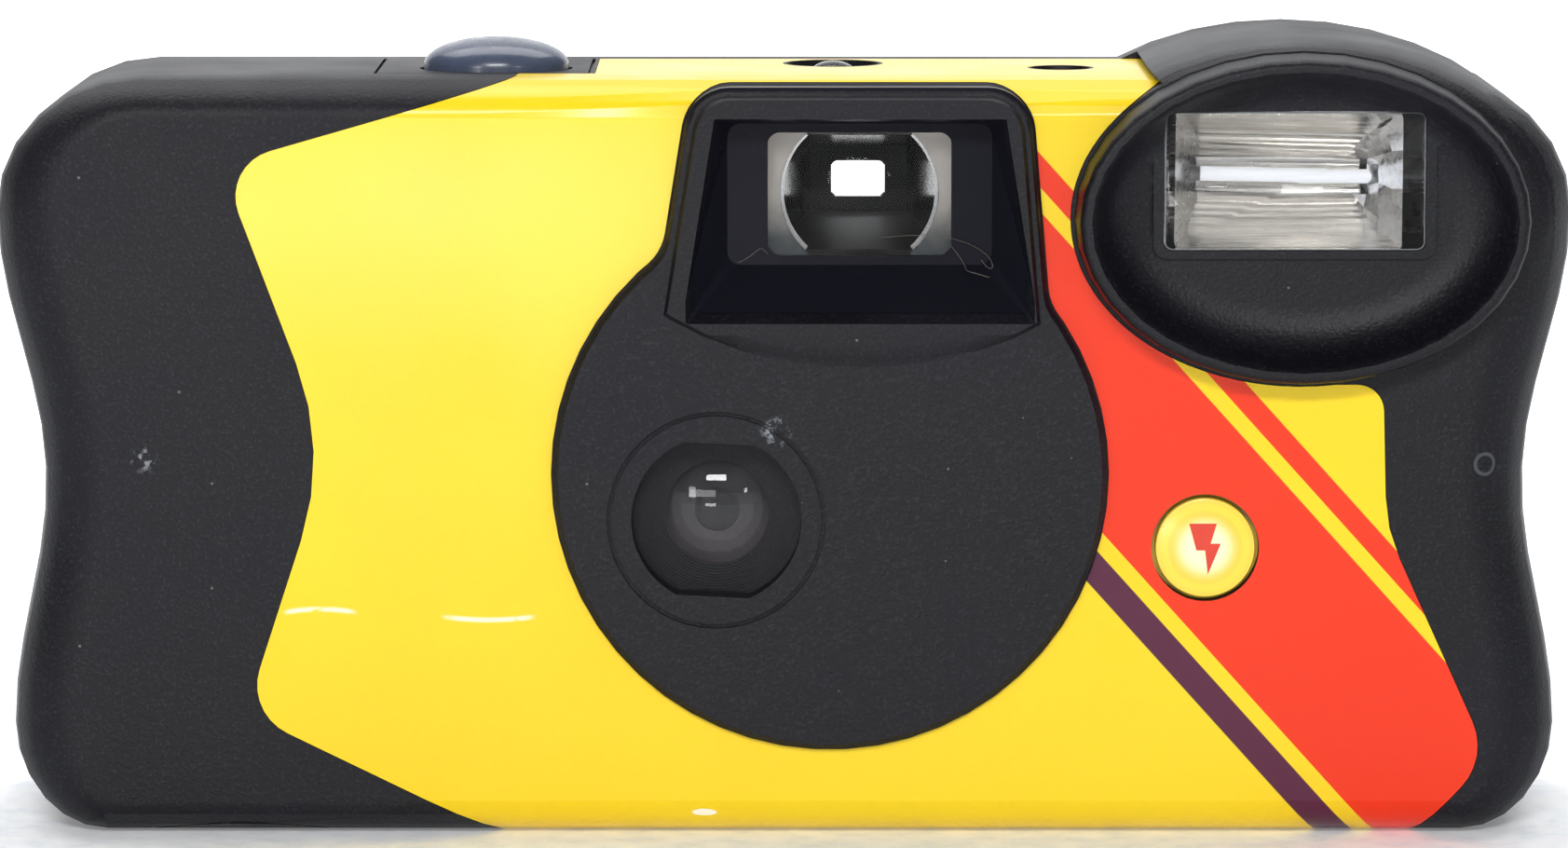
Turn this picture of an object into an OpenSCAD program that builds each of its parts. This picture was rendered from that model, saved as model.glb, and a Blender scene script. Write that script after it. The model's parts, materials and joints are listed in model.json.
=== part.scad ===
// Flash camera for one roll of 35 mm film, in millimetres.
// +Z is up, +X is to the right as seen from the front, and the front faces -Y.
// The origin is on the surface that the camera stands on, under its middle.

/* [Body] */
// Width across the shoulders
body_w = 117; // [117:0.5:126]
// Height of the flat top
body_h = 56.5; // [56.5:0.5:60]
// Depth from the flash rim to the back
body_d = 33; // [33:0.5:37]
// Wall thickness of the covers
wall = 1.5; // [1.2:0.1:1.6]
// How far each end is drawn in at the waist
waist_in = 3.4; // [2:0.1:3.4]
// Height of the waist
waist_z = 26.5; // [22:0.5:30]
// How far each foot stands inside the shoulder
foot_in = 0.9; // [0.2:0.1:2]
// Height of the rounded bottom corners
foot_h = 8; // [6:0.5:10]
// Width of the rounded bottom corners
foot_rx = 7; // [5:0.5:9]
// Height of the rounded top corners
top_corner_h = 10; // [7:0.5:12]
// Width of the rounded top corners
top_corner_w = 10.8; // [8:0.2:14]
// Depth of the rear cover
rear_cover_d = 7.5; // [6:0.5:8]
// Depth of the rolled front and back edges
edge_d = 5; // [4:0.5:6]
// Inset of the rolled edges at the ends
edge_x = 5; // [3.5:0.5:6]
// Inset of the rolled edges at the top and bottom
edge_z = 2.8; // [2:0.1:3.2]

/* [Lens panel] */
// Lens axis left of the middle
lens_x = -5; // [-7:0.2:-4]
// Lens axis above the base
lens_z = 24; // [23.3:0.1:25]
// Radius of the round lens panel
panel_r = 20.5; // [18:0.5:21]
// Panel centre right of the middle
panel_x = 3.4; // [2:0.2:5]
// Panel centre above the base
panel_z = 27.3; // [26.5:0.1:28]
// Height of the panel over the front face
panel_rise = 1.1; // [0.6:0.1:1.5]
// Radius of the groove round the lens
bezel_r = 8.1; // [7.5:0.1:9]
// Radius of the lens opening
lens_hole_r = 6.3; // [5.8:0.1:6.8]
// Half height between the two flats of the lens opening
lens_flat = 5.7; // [5.2:0.1:6]
// Diameter of the taking lens
lens_d = 8.6; // [7.6:0.2:9]

/* [Finder] */
// Finder axis right of the middle
finder_x = 5.6; // [5:0.1:6.2]
// Finder axis below the flat top
finder_drop = 8.7; // [8.2:0.1:9]
// Width of the front finder window
finder_w = 13.6; // [11:0.2:14.4]
// Height of the front finder window
finder_h = 9.1; // [7:0.1:9.4]
// Depth of the hood pocket
hood_d = 4.7; // [3:0.1:5.5]
// Top width of the hood
hood_top_w = 25; // [22:0.5:27]
// Bottom width of the hood
hood_low_w = 29.6; // [27:0.2:32]
// Rise of the hood over the lens panel
hood_rise = 0.6; // [0.3:0.1:1]
// Width of the eyepiece window
eyepiece_w = 7; // [5:0.2:9]
// Height of the eyepiece window
eyepiece_h = 4.6; // [3.6:0.2:6]

/* [Flash pod] */
// Rise of the pod rim over the front face
pod_rise = 4; // [3:0.1:5]
// Half width of the pod rim
pod_rx = 16.5; // [15.5:0.1:17.5]
// Half height of the pod rim
pod_rz = 11.9; // [11:0.1:12.5]
// Half width of the shoulder behind the pod
hump_rx = 20.3; // [20.3:0.1:21.5]
// Half height of the shoulder behind the pod
hump_rz = 13; // [12.8:0.1:14]
// Pod centre below the flat top
pod_drop = 10.2; // [9.8:0.1:11]
// Depth of the dish inside the rim
dish_d = 3.7; // [2.5:0.1:4.2]
// Width of the flash window
flash_w = 19.2; // [16:0.1:20]
// Height of the flash window
flash_h = 10.2; // [8:0.1:10.6]
// Flash window above the pod centre
flash_up = 2.8; // [2:0.1:3]
// Flash window left of the pod centre
flash_left = 0.6; // [0:0.1:1.2]
// Diameter of the flash tube
tube_d = 2.6; // [2:0.1:3]

/* [Top] */
// Shutter button left of the middle
button_x = -21.6; // [-23:0.2:-20]
// Length of the shutter button
button_w = 10.9; // [9:0.1:12]
// Depth of the shutter button
button_d = 8.6; // [7:0.1:9.5]
// Height of the button dome over the top
button_rise = 2.4; // [1.6:0.1:3]
// Travel of the shutter button
button_travel = 1.3; // [0.8:0.1:1.6]
// Counter window right of the middle
counter_x = 3.7; // [3.2:0.1:5]
// Diameter of the counter recess
counter_d = 7; // [6:0.2:7.4]
// Ready light right of the middle
ready_x = 20.8; // [19.5:0.1:21.5]
// Diameter of the ready light
ready_d = 4.4; // [3.6:0.1:4.8]
// Charging button below the pod centre
charge_drop = 24.5; // [23.8:0.1:25]
// Charging button left of the pod centre
charge_left = 7; // [6:0.1:8]
// Radius of the charging button
charge_r = 3.7; // [3:0.1:4]
// Travel of the charging button
charge_travel = 0.8; // [0.5:0.1:0.8]

/* [Label] */
// Thickness of the label
label_t = 0.2; // [0.1:0.05:0.3]

/* [Film] */
// Radius of the film cartridge
can_r = 12.5; // [12.4:0.05:12.5]
// Length of the film cartridge
can_h = 44.2; // [43.6:0.1:44.2]
// Width of the film
film_w = 35; // [34.6:0.1:35]
// Film gate width
gate_w = 36; // [32:0.5:36]
// Film gate height
gate_h = 24; // [20:0.5:24]
// Film plane in front of the back
film_back = 4; // [3.6:0.1:4.4]
// Outer radius of the unexposed roll
roll_r = 9.6; // [8:0.1:9.8]
// Outer radius of the supply spool core
core_r = 5; // [4:0.2:6]
// Radius of the thumbwheel
wheel_r = 13; // [12.4:0.1:13]
// Thickness of the thumbwheel
wheel_t = 4; // [3:0.1:4.2]
// Number of grips round the thumbwheel
wheel_grips = 40; // [24:1:48]

/* [Battery] */
// Diameter of the AA cell
cell_d = 14.5; // [13.5:0.1:14.5]
// Length of the AA cell without its nub
cell_l = 49.2; // [48.5:0.1:49.5]

/* [Fits] */
// Room between moving and fixed pieces
run_gap = 0.3; // [0.3:0.05:0.4]
// Room between fixed pieces that nest
nest_gap = 0.05; // [0.02:0.01:0.1]
// Radial room of a shaft in its bore
shaft_gap = 0.06; // [0.03:0.01:0.1]

/* [Hidden] */
$fn = 48;
half_w = body_w / 2;
rear_y = body_d / 2;
pod_y = -rear_y;
front_y = pod_y + pod_rise;
part_y = rear_y - rear_cover_d;
panel_y = front_y - panel_rise;
hood_y = panel_y - hood_rise;
inner_front = front_y + wall;
inner_rear = rear_y - wall;
inner_top = body_h - wall;
shoulder_z = body_h - top_corner_h;
pod_x = half_w - hump_rx;
pod_z = body_h - pod_drop;
flash_x = pod_x - flash_left;
flash_z = pod_z + flash_up;
finder_z = body_h - finder_drop;
charge_x = pod_x - charge_left;
charge_z = pod_z - charge_drop;
door_t = 0.95;
can_z = lens_z - can_h / 2;
cart_x = -half_w + waist_in + wall + can_r + 0.6;
cart_y = inner_rear - can_r - 0.2;
film_y = rear_y - film_back;
film_z = lens_z - film_w / 2;
deck_t = 1.2;
deck_z = film_z + film_w + 0.6;
eps = 0.01;

// Small building blocks

// Box between two corners
module block(a, b) {
    translate(a) cube(b - a);
}

// Upright cylinder between two heights
module post(x, y, z0, z1, r) {
    translate([x, y, z0]) cylinder(h = z1 - z0, r = r);
}

// Cylinder along Y between two depths
module rod_y(x, z, y0, y1, r) {
    translate([x, y1, z]) rotate([90, 0, 0]) cylinder(h = y1 - y0, r = r);
}

// Cylinder along X
module rod_x(x0, x1, y, z, r) {
    translate([x0, y, z]) rotate([0, 90, 0]) cylinder(h = x1 - x0, r = r);
}

// Front-view drawing (x across, z up) pushed out from y0 back to y1
module front_push(y0, y1) {
    translate([0, y1, 0]) rotate([90, 0, 0]) linear_extrude(y1 - y0) children();
}

// Rounded plate in the front view
module soft_plate(x, z, w, h, r, y0, y1) {
    hull() for (i = [-1, 1], j = [-1, 1])
        rod_y(x + i * (w / 2 - r), z + j * (h / 2 - r), y0, y1, r, $fn = 24);
}

// Corner-rounded outline from [x, z, radius] corners
function unit(v) = v / norm(v);
function rounded(c, step = 12) = [for (i = [0:len(c) - 1])
    let (p = [c[i].x, c[i].y], n = len(c),
        a = unit([c[(i + n - 1) % n].x, c[(i + n - 1) % n].y] - p),
        b = unit([c[(i + 1) % n].x, c[(i + 1) % n].y] - p),
        half = acos(a * b) / 2, r = c[i].z, q = unit(a + b) * (r / sin(half)),
        turn = cross(a, b) > 0 ? -1 : 1,
        sweep = 180 - 2 * half, m = max(1, ceil(sweep / step)),
        s = p + a * (r / tan(half)) - (p + q))
    each [for (k = [0:m]) let (t = turn * sweep * k / m)
        p + q + [s.x * cos(t) - s.y * sin(t), s.x * sin(t) + s.y * cos(t)]]];

// Moulded covers

// Half width of the body at a height on its pinched ends
function side_half(z) = z >= waist_z
    ? half_w - waist_in * (1 + cos(180 * (z - waist_z) / (shoulder_z - waist_z))) / 2
    : half_w - foot_in - (waist_in - foot_in) * (1 + cos(180 * (waist_z - z) / (waist_z - foot_h))) / 2;
side_steps = 12;
corner_step = 15;
right_side = concat(
    [for (a = [-90:corner_step:0]) [half_w - foot_in - foot_rx * (1 - cos(a)), foot_h * (1 + sin(a))]],
    [for (k = [1:side_steps - 1]) let (z = foot_h + (shoulder_z - foot_h) * k / side_steps) [side_half(z), z]],
    [for (a = [0:corner_step:90]) [half_w - top_corner_w * (1 - cos(a)), shoulder_z + top_corner_h * sin(a)]]);
outline = concat(right_side, [for (i = [len(right_side) - 1:-1:0]) [-right_side[i].x, right_side[i].y]]);
out_n = len(outline);
normals = [for (i = [0:out_n - 1])
    let (t = unit(outline[(i + 1) % out_n] - outline[(i + out_n - 1) % out_n])) [t.y, -t.x]];

// Body outline at a depth, drawn in by w all round and by s of the rolled edge
function body_ring(y, w, s) = [for (i = [0:out_n - 1])
    [outline[i].x - normals[i].x * (w + (edge_x - w) * s), y,
        outline[i].y - normals[i].y * (w + (edge_z - w) * s)]];
hump_steps = 36;
rim_foot = 0.4;
hump_edge_x = hump_rx - pod_rx - rim_foot;
hump_edge_z = hump_rz - pod_rz - rim_foot - 5 * eps;
// Oval at a depth round the pod centre
function oval_ring(y, rx, rz) = [for (k = [0:hump_steps - 1]) let (a = 360 * k / hump_steps)
    [pod_x + rx * cos(a), y, pod_z + rz * sin(a)]];
function hump_ring(y, w, s) =
    oval_ring(y, hump_rx - w - max(hump_edge_x - w, 0) * s, hump_rz - w - max(hump_edge_z - w, 0) * s);

// Solid through rings that are listed from the back to the front
module loft(rings) {
    n = len(rings[0]);
    m = len(rings);
    polyhedron(points = [for (r = rings) each r], faces = concat(
        [[for (i = [0:n - 1]) i]],
        [for (k = [0:m - 2], i = [0:n - 1]) let (a = k * n + i, b = k * n + (i + 1) % n)
            each [[a, a + n, b + n], [a, b + n, b]]],
        [[for (i = [n - 1:-1:0]) (m - 1) * n + i]]));
}

edge_turns = [0:22.5:90];
back_turns = [90:-22.5:0];
hump_d = 8;
// Everything inside the front cover's skin, drawn in by w
module front_solid(w, back = part_y) {
    loft(concat([body_ring(back, w, 0)],
        [for (t = edge_turns) body_ring(front_y + w + (edge_d - w) * (1 - sin(t)), w, 1 - cos(t))]));
}
module front_hump(w, back = part_y) {
    loft(concat([hump_ring(back, w, 0)],
        [for (t = edge_turns) hump_ring(front_y + 2 * eps + w + (hump_d - w) * (1 - sin(t)), w, 1 - cos(t))]));
}
// The same for the rear cover
module rear_solid(w, front = part_y) {
    loft(concat([for (t = back_turns) body_ring(rear_y - w - (edge_d - w) * (1 - sin(t)), w, 1 - cos(t))],
        [body_ring(front, w, 0)]));
}
module rear_hump(w, front = part_y) {
    loft(concat([for (t = back_turns) hump_ring(rear_y - w - (edge_d - w) * (1 - sin(t)), w, 1 - cos(t))],
        [hump_ring(front, w, 0)]));
}

// Hood drawn in the front view, wider at its foot
hood_x = finder_x - 0.7;
hood_top_z = body_h - 0.5;
hood_foot_z = panel_z + 10;
hood_step_r = 28;
hood_step_z = panel_z + 7.9;
module hood_2d(grow, foot = hood_foot_z) {
    down = (hood_foot_z - foot) / (hood_top_z - hood_foot_z);
    left = hood_x - hood_low_w / 2;
    right = hood_x + hood_low_w / 2;
    top_left = finder_x - hood_top_w / 2;
    top_right = finder_x + hood_top_w / 2;
    offset(r = grow) polygon(rounded([
        [left + (left - top_left) * down, foot, 0.5], [right + (right - top_right) * down, foot, 0.5],
        [top_right, hood_top_z, 3.4], [top_left, hood_top_z, 3.4]]));
}
// Round panel that runs up into the hood through soft necks
neck_r = 4;
module panel_2d(grow) {
    offset(r = grow - neck_r) offset(r = neck_r) {
        translate([panel_x, panel_z]) circle(panel_r, $fn = 54);
        hood_2d(0);
    }
}
// Only the hood, ending below in an arc
module hood_step_2d() {
    intersection() {
        hood_2d(-0.7, hood_step_z - 1);
        translate([finder_x, hood_step_z + hood_step_r]) circle(hood_step_r, $fn = 60);
    }
}
// Raised panel with a soft rim
panel_rim = 0.4;
module raised(y0, y1, cx, cz, rim) {
    translate([cx, 0, cz]) rotate([90, 0, 0]) {
        translate([0, 0, -y1]) linear_extrude(y1 - y0 - rim) translate([-cx, -cz]) children();
        translate([0, 0, -y0 - rim]) linear_extrude(rim, scale = 1 - rim / panel_r)
            translate([-cx, -cz]) children();
    }
}

// Pocket of the hood: open at the front, ramped at the bottom, with the finder window in its floor
pocket_y = hood_y + hood_d;
pocket_wall = 1.2;
pocket_top_w = 21.5;
pocket_low_w = 25.7;
pocket_ramp = 4.6;
pocket_head = 1.4;
pocket_floor_w = finder_w + 6;
pocket_floor_h = finder_h + 1.4;
pocket_low_z = finder_z - finder_h / 2 - pocket_ramp;
pocket_top_z = finder_z + finder_h / 2 + pocket_head;
// Size at a depth on the straight line from the pocket's floor to its mouth
function flare(floor_size, mouth_size, y) = floor_size + (mouth_size - floor_size) * (pocket_y - y) / hood_d;
module pocket(grow, y0, y1) {
    low = flare(pocket_floor_w, pocket_low_w, y0) / 2 + grow;
    top = flare(pocket_floor_w, pocket_top_w, y0) / 2 + grow;
    low_z = flare(finder_z - pocket_floor_h / 2, pocket_low_z, y0) - grow;
    top_z = flare(finder_z + pocket_floor_h / 2, pocket_top_z, y0) + grow;
    hull() {
        front_push(y0, y0 + eps) polygon([[finder_x - low, low_z], [finder_x + low, low_z],
            [finder_x + top, top_z], [finder_x - top, top_z]]);
        soft_plate(finder_x, finder_z, pocket_floor_w + 2 * grow, pocket_floor_h + 2 * grow, 1, y1 - eps, y1);
    }
}

// Oval pod with a rounded rim, and the dish inside it
dish_y = pod_y + dish_d;
rim_t = 1.2;
module pod_ring() {
    // Depth behind the crown and growth of the oval, from the foot up
    bead = [[pod_rise + wall * 0.6, rim_foot], [1.1, 0.1], [0.4, 0], [0.1, -0.2], [0, -0.5]];
    loft([for (r = bead) oval_ring(pod_y + r[0], pod_rx + r[1], pod_rz + r[1])]);
}
module dish() {
    // Share of the depth and growth of the oval, from the floor to past the crown of the bead
    bowl = [[1, -4.2], [0.93, -2.7], [0.8, -1.6], [0.58, -0.8], [0.3, -0.25], [0.1, 0.05], [0.02, 0.3], [-0.06, 0.6]];
    loft([for (r = bowl) oval_ring(pod_y + dish_d * r[0], pod_rx - rim_t + r[1], pod_rz - rim_t + r[1])]);
}

// Label outline in the front view: corners with their radii
label_gap = 0.15;
label_notch_z = pod_z - pod_rz - 3 * label_gap;
module label_2d(grow) {
    difference() {
        offset(delta = grow) polygon(rounded([[cart_x + 21.8, -1, 0.5], [pod_x + 7.6, -1, 0.5],
            [pod_x + 14.2, 6, 4.5], [pod_x + 6.4, 23.2, 12], [pod_x + 6.1, label_notch_z, 2],
            [pod_x, label_notch_z, 0.2], [pod_x, pod_z, 0.2], [pod_x - 12.3, body_h + 1.5, 0.2],
            [-14.5, body_h + 1.5, 0.5], [cart_x - 1, body_h - 6.3, 3.5],
            [cart_x + 6.9, waist_z + 2.5, 20], [cart_x + 0.5, 9.4, 4]]));
        panel_2d(label_gap - grow);
        translate([pod_x, pod_z]) scale([(pod_rx + 4 * label_gap) / (pod_rz + 4 * label_gap), 1])
            circle(pod_rz + 4 * label_gap - grow, $fn = 54);
        translate([charge_x, charge_z]) circle(charge_r + run_gap - grow);
    }
}
// Holes in the top that the label leaves free
module top_holes(grow) {
    post(counter_x, counter_y, body_h - 1, body_h + 2, counter_d / 2 + 2 * label_gap - grow);
    post(ready_x, ready_y, body_h - 1, body_h + 2, ready_d / 2 + 2 * label_gap - grow);
    block([tongue_x0, tongue_y, body_h - edge_z], [tongue_x + 2 * label_gap - grow, part_y + 2, body_h + 2]);
}
// Layer of the front skin that the label fills
module label_layer(t) {
    difference() {
        intersection() {
            front_solid(0);
            front_push(front_y - 1, part_y) label_2d(0);
        }
        front_solid(t, part_y + 1);
        top_holes(0);
    }
}
// Shallow recess for the label, open to the outside
module label_recess(t, grow) {
    difference() {
        front_push(front_y - 1, part_y + 0.5) label_2d(grow);
        front_solid(t, part_y + 1);
        top_holes(grow);
    }
}
counter_y = part_y - counter_d / 2 - 1;
ready_y = 0;
button_y = -0.5;

// Front cover: shell, panel, hood, pod, and the openings in them
frame_lip = 0.8;
boss_r = 3;
lens_tilt = 3;
groove_d = 0.4;
groove_w = 0.35;
module lens_opening(y0, y1, gap) {
    intersection() {
        rod_y(lens_x, lens_z, y0, y1, lens_hole_r + gap);
        translate([lens_x, 0, lens_z]) rotate([0, lens_tilt, 0])
            block([-lens_hole_r - 1, y0, -lens_flat - gap], [lens_hole_r + 1, y1, lens_flat + gap]);
    }
}
door_r = can_r + 0.8;
cell_x = 0;
cell_y = inner_front + 0.35 + cell_d / 2;
cell_z = wall + 0.25 + cell_d / 2;
cell_nub = 1;
nub_r = 2.75;
contact_t = 0.4;
minus_x = cell_x - cell_l / 2 - nest_gap - contact_t;
plus_x = cell_x + cell_l / 2 + cell_nub + nest_gap;
rib_t = 1;
wheel_z = can_z + can_h + 1.5;
spindle_r = 1.2;
module oval_post(x, y, z0, z1, w, d) {
    translate([x, y, z0]) scale([w / d, 1, 1]) cylinder(h = z1 - z0, d = d);
}
// Raised frame round the flash window
module flash_frame(y0, y1) {
    soft_plate(flash_x, flash_z, flash_w + 2 * frame_lip, flash_h + 2 * frame_lip - 0.3, 1, y0, y1);
}
module front_cover() color([0.14, 0.14, 0.16]) difference() {
    union() {
        difference() {
            union() {
                front_solid(0);
                front_hump(0);
            }
            front_solid(wall, part_y + 1);
            front_hump(wall, part_y + 1);
        }
        raised(panel_y, front_y + wall / 2, panel_x, panel_z, panel_rim) panel_2d(0);
        front_push(front_y - panel_rise / 2, pocket_y + pocket_wall / 2) hood_2d(-0.2);
        raised(hood_y, panel_y + panel_rise / 2, finder_x, finder_z, panel_rim) hood_step_2d();
        pocket(pocket_wall, panel_y + 0.5, pocket_y + pocket_wall);
        pod_ring();
        flash_frame(dish_y - 0.4, inner_front - wall / 3);
        // Ribs behind the two battery contacts
        for (x = [minus_x - rib_t - nest_gap, plus_x + contact_t + nest_gap])
            block([x, inner_front - eps, wall - eps], [x + rib_t, cell_y + cell_d / 4, cell_z + 4]);
        // Boss and spindle that carry the thumbwheel
        post(cart_x, cart_y, wheel_z + wheel_t + run_gap, inner_top + eps, boss_r);
        post(cart_x, cart_y, wheel_z + 1.5, inner_top, spindle_r);
    }
    pocket(0, hood_y - 1, pocket_y);
    soft_plate(finder_x, finder_z, finder_w + 2 * nest_gap, finder_h + 2 * nest_gap, 1, pocket_y - 1,
        pocket_y + pocket_wall + 1);
    difference() {
        dish();
        flash_frame(dish_y - 0.4, dish_y + 1);
    }
    soft_plate(flash_x, flash_z, flash_w + 2 * nest_gap, flash_h + 2 * nest_gap, 0.6, pod_y, inner_front + 1);
    lens_opening(panel_y - 1, inner_front + 1, 0);
    difference() {
        rod_y(lens_x, lens_z, panel_y - 1, panel_y + groove_d, bezel_r);
        rod_y(lens_x, lens_z, panel_y - 1.5, panel_y + 1, bezel_r - groove_w);
    }
    label_recess(label_t + nest_gap, nest_gap);
    // Openings in the top
    oval_post(button_x, button_y, inner_top - 1, body_h + 1, button_w + 2 * run_gap, button_d + 2 * run_gap);
    post(counter_x, counter_y, body_h - 0.5, body_h + 1, counter_d / 2);
    post(counter_x, counter_y, inner_top - 1, body_h + 1, window_r + nest_gap);
    post(ready_x, ready_y, inner_top - 1, body_h + 1, ready_d / 2 + nest_gap);
    button_slit();
    rod_y(charge_x, charge_z, front_y - 1, inner_front + 1, charge_r + run_gap);
    // Round opening under the cartridge, closed by the film door
    intersection() {
        post(cart_x, cart_y, -1, foot_h, door_r + run_gap);
        block([-half_w, front_y, -1], [half_w, part_y + 1, can_z + 1]);
    }
}
window_r = 2.2;
slit = 0.25;
tongue_y = button_y - button_d / 2 - 1.2;
tongue_x0 = button_x - button_w / 2 - 3.5;
tongue_x = button_x + button_w / 2 + 1.8;
module button_slit() {
    difference() {
        block([tongue_x0, tongue_y, body_h - 0.3], [tongue_x, part_y + 1, body_h + 1]);
        block([tongue_x0 + slit, tongue_y + slit, body_h - 1], [tongue_x - slit, part_y + 2, body_h + 2]);
    }
}

// Rear cover with thumb scoop, wheel slot, eyepiece hole and pressure ribs behind the film
scoop_d = 2.4;
scoop_r = 14;
scoop_flat = 0.62;
rib_r = 0.7;
rib_film_gap = 0.5;
slot_w = 20;
eyepiece_seat = 1;
eyepiece_soft = 0.8;
module scoop(r) {
    translate([cart_x, rear_y + scoop_r - scoop_d, wheel_z + wheel_t / 2]) scale([1, 1, scoop_flat]) sphere(r);
}
// Rib that presses the film flat
module pressure_rib(x0, x1, z) {
    hull() for (x = [x0, x1])
        rod_y(x, z, film_y + rib_film_gap, inner_rear + eps, rib_r, $fn = 16);
}
module rear_cover() color([0.14, 0.14, 0.16]) difference() {
    union() {
        difference() {
            union() {
                rear_solid(0);
                rear_hump(0);
            }
            rear_solid(wall, part_y - 1);
            rear_hump(wall, part_y - 1);
        }
        // Wall behind the thumb scoop
        intersection() {
            rear_solid(0);
            scoop(scoop_r + wall);
            block([cart_x - scoop_r - 3, part_y, wheel_z - scoop_r / 2],
                [cart_x + scoop_r + 3, rear_y, body_h]);
        }
        for (k = [-1:1])
            pressure_rib(lens_x - gate_w / 2, lens_x + gate_w / 2, lens_z + k * gate_h * 3 / 8);
        for (k = [-1, 1])
            pressure_rib(lens_x - gate_w / 2 + 2, lens_x + gate_w / 2, lens_z + k * (gate_h / 2 + 1.5));
        soft_plate(finder_x, finder_z, eyepiece_w + 5, eyepiece_h + 4.4, 1.5, inner_rear - eyepiece_seat,
            inner_rear + eps);
    }
    scoop(scoop_r);
    soft_plate(cart_x, wheel_z + wheel_t / 2, slot_w, wheel_t + 2 * run_gap, 0.6, part_y - 1, rear_y);
    intersection() {
        post(cart_x, cart_y, wheel_z - run_gap, wheel_z + wheel_t + run_gap, wheel_r + run_gap);
        block([-half_w, part_y, 0], [half_w, rear_y, body_h]);
    }
    post(cart_x, cart_y, door_t, can_z + can_h + 1, can_r + 0.15);
    soft_plate(finder_x, finder_z, eyepiece_w + 2 * nest_gap, eyepiece_h + 2 * nest_gap, eyepiece_soft, part_y,
        rear_y + 1);
    // Shallow surround of the eyepiece
    soft_plate(finder_x, finder_z, eyepiece_w + 3, eyepiece_h + 3, 1.2, rear_y - 0.6, rear_y + 1);
}

// Die-cut label, flush with the cover
module label() color([0.98, 0.85, 0.2]) label_layer(label_t);

// Buttons, windows and light

// Oval button: dome over the top, collar through the opening, flange under it and a stem
flange_t = 0.8;
flange_out = 1;
stem_r = 1.5;
dome_z = body_h + 0.3;
dome_rise = body_h + button_rise - dome_z;
flange_z = inner_top - run_gap - flange_t;
module shutter_button() color([0.3, 0.34, 0.42]) {
    hull() for (t = [0:15:90])
        oval_post(button_x, button_y, dome_z + dome_rise * sin(t) - 2 * eps, dome_z + dome_rise * sin(t),
            (button_w - 0.1) * cos(t * 0.94), (button_d - 0.1) * cos(t * 0.94), $fn = 32);
    oval_post(button_x, button_y, flange_z, dome_z, button_w, button_d);
    oval_post(button_x, button_y, flange_z, flange_z + flange_t, button_w + 2 * flange_out,
        button_d + 2 * flange_out);
    post(button_x, button_y, stem_end, flange_z + eps, stem_r);
}

charge_flange = 0.4;
lip_out = 0.8;
charge_back = inner_front + 0.05 + charge_flange;
module charge_button() color([0.98, 0.8, 0.25]) {
    rod_y(charge_x, charge_z, front_y, charge_back, charge_r);
    rod_y(charge_x, charge_z, charge_back - charge_flange, charge_back, charge_r + lip_out);
}

// Clear magnifier: domed plug with a flange under the top
magnifier_r = 3.4;
window_lip = 0.35;
module counter_window() color([0.8, 0.85, 0.88]) {
    translate([counter_x, counter_y, 0]) rotate_extrude() intersection() {
        translate([0, body_h + 0.2 - magnifier_r]) circle(magnifier_r);
        translate([0, inner_top - 0.3]) square([window_r, 2 * wall]);
    }
    post(counter_x, counter_y, inner_top - window_lip, inner_top - nest_gap, window_r + lip_out);
}

pipe_z = inner_top - 0.6;
module ready_light_pipe() color([0.75, 0.3, 0.12]) {
    post(ready_x, ready_y, pipe_z, body_h - 0.3, ready_d / 2);
    post(ready_x, ready_y, pipe_z, inner_top - nest_gap, ready_d / 2 + lip_out);
}

lamp_h = 6;
lamp_r = 1.9;
lamp_leg = 2.5;
lamp_wire_r = 0.25;
module ready_lamp() color([0.9, 0.75, 0.6]) {
    post(ready_x, ready_y, pipe_z - lamp_h, pipe_z, lamp_r);
    for (i = [-1, 1])
        post(ready_x + i, ready_y, pipe_z - lamp_h - lamp_leg, pipe_z - lamp_h + eps, lamp_wire_r);
}

// Finder windows: a plate in the opening with a flange behind it
module viewfinder_lens() color([0.8, 0.85, 0.88]) {
    soft_plate(finder_x, finder_z, finder_w, finder_h, 1, pocket_y + 0.3, pocket_y + pocket_wall + 0.5);
    difference() {
        soft_plate(finder_x, finder_z, finder_w + 1.4, finder_h + 0.5, 1, pocket_y + pocket_wall + nest_gap,
            pocket_y + pocket_wall + 0.9);
        rod_y(finder_x, finder_z, pocket_y + pocket_wall + 0.55, pocket_y + pocket_wall + 2, mask_r - 1.7);
    }
}
module eyepiece_lens() color([0.8, 0.85, 0.88]) {
    soft_plate(finder_x, finder_z, eyepiece_w, eyepiece_h, eyepiece_soft, inner_rear - eyepiece_seat - 0.2,
        rear_y - 0.9);
    soft_plate(finder_x, finder_z, eyepiece_w + 2 * lip_out, eyepiece_h + 1.4, eyepiece_soft, inner_rear - 2,
        inner_rear - eyepiece_seat - nest_gap);
}

// Lens, shutter and light box

// Stations along the lens axis, from the front
seat_y = inner_front + nest_gap;
lens_y = inner_front + 1.9;
lens_t = 2;
plate_y = lens_y + lens_t + nest_gap;
plate_t = 0.3;
blade_y = plate_y + plate_t + run_gap;
blade_t = 0.4;
box_y = blade_y + blade_t + run_gap;
seat_r = bezel_r - 0.9;
lens_seat = lens_d / 2 + nest_gap;
baffles = 12;
seat_lip = 0.6;
// Turned about the lens axis: x is the radius, y runs to the back
module about_lens() {
    translate([lens_x, 0, lens_z]) rotate([-90, 0, 0]) rotate_extrude($fn = 64) children();
}
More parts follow.
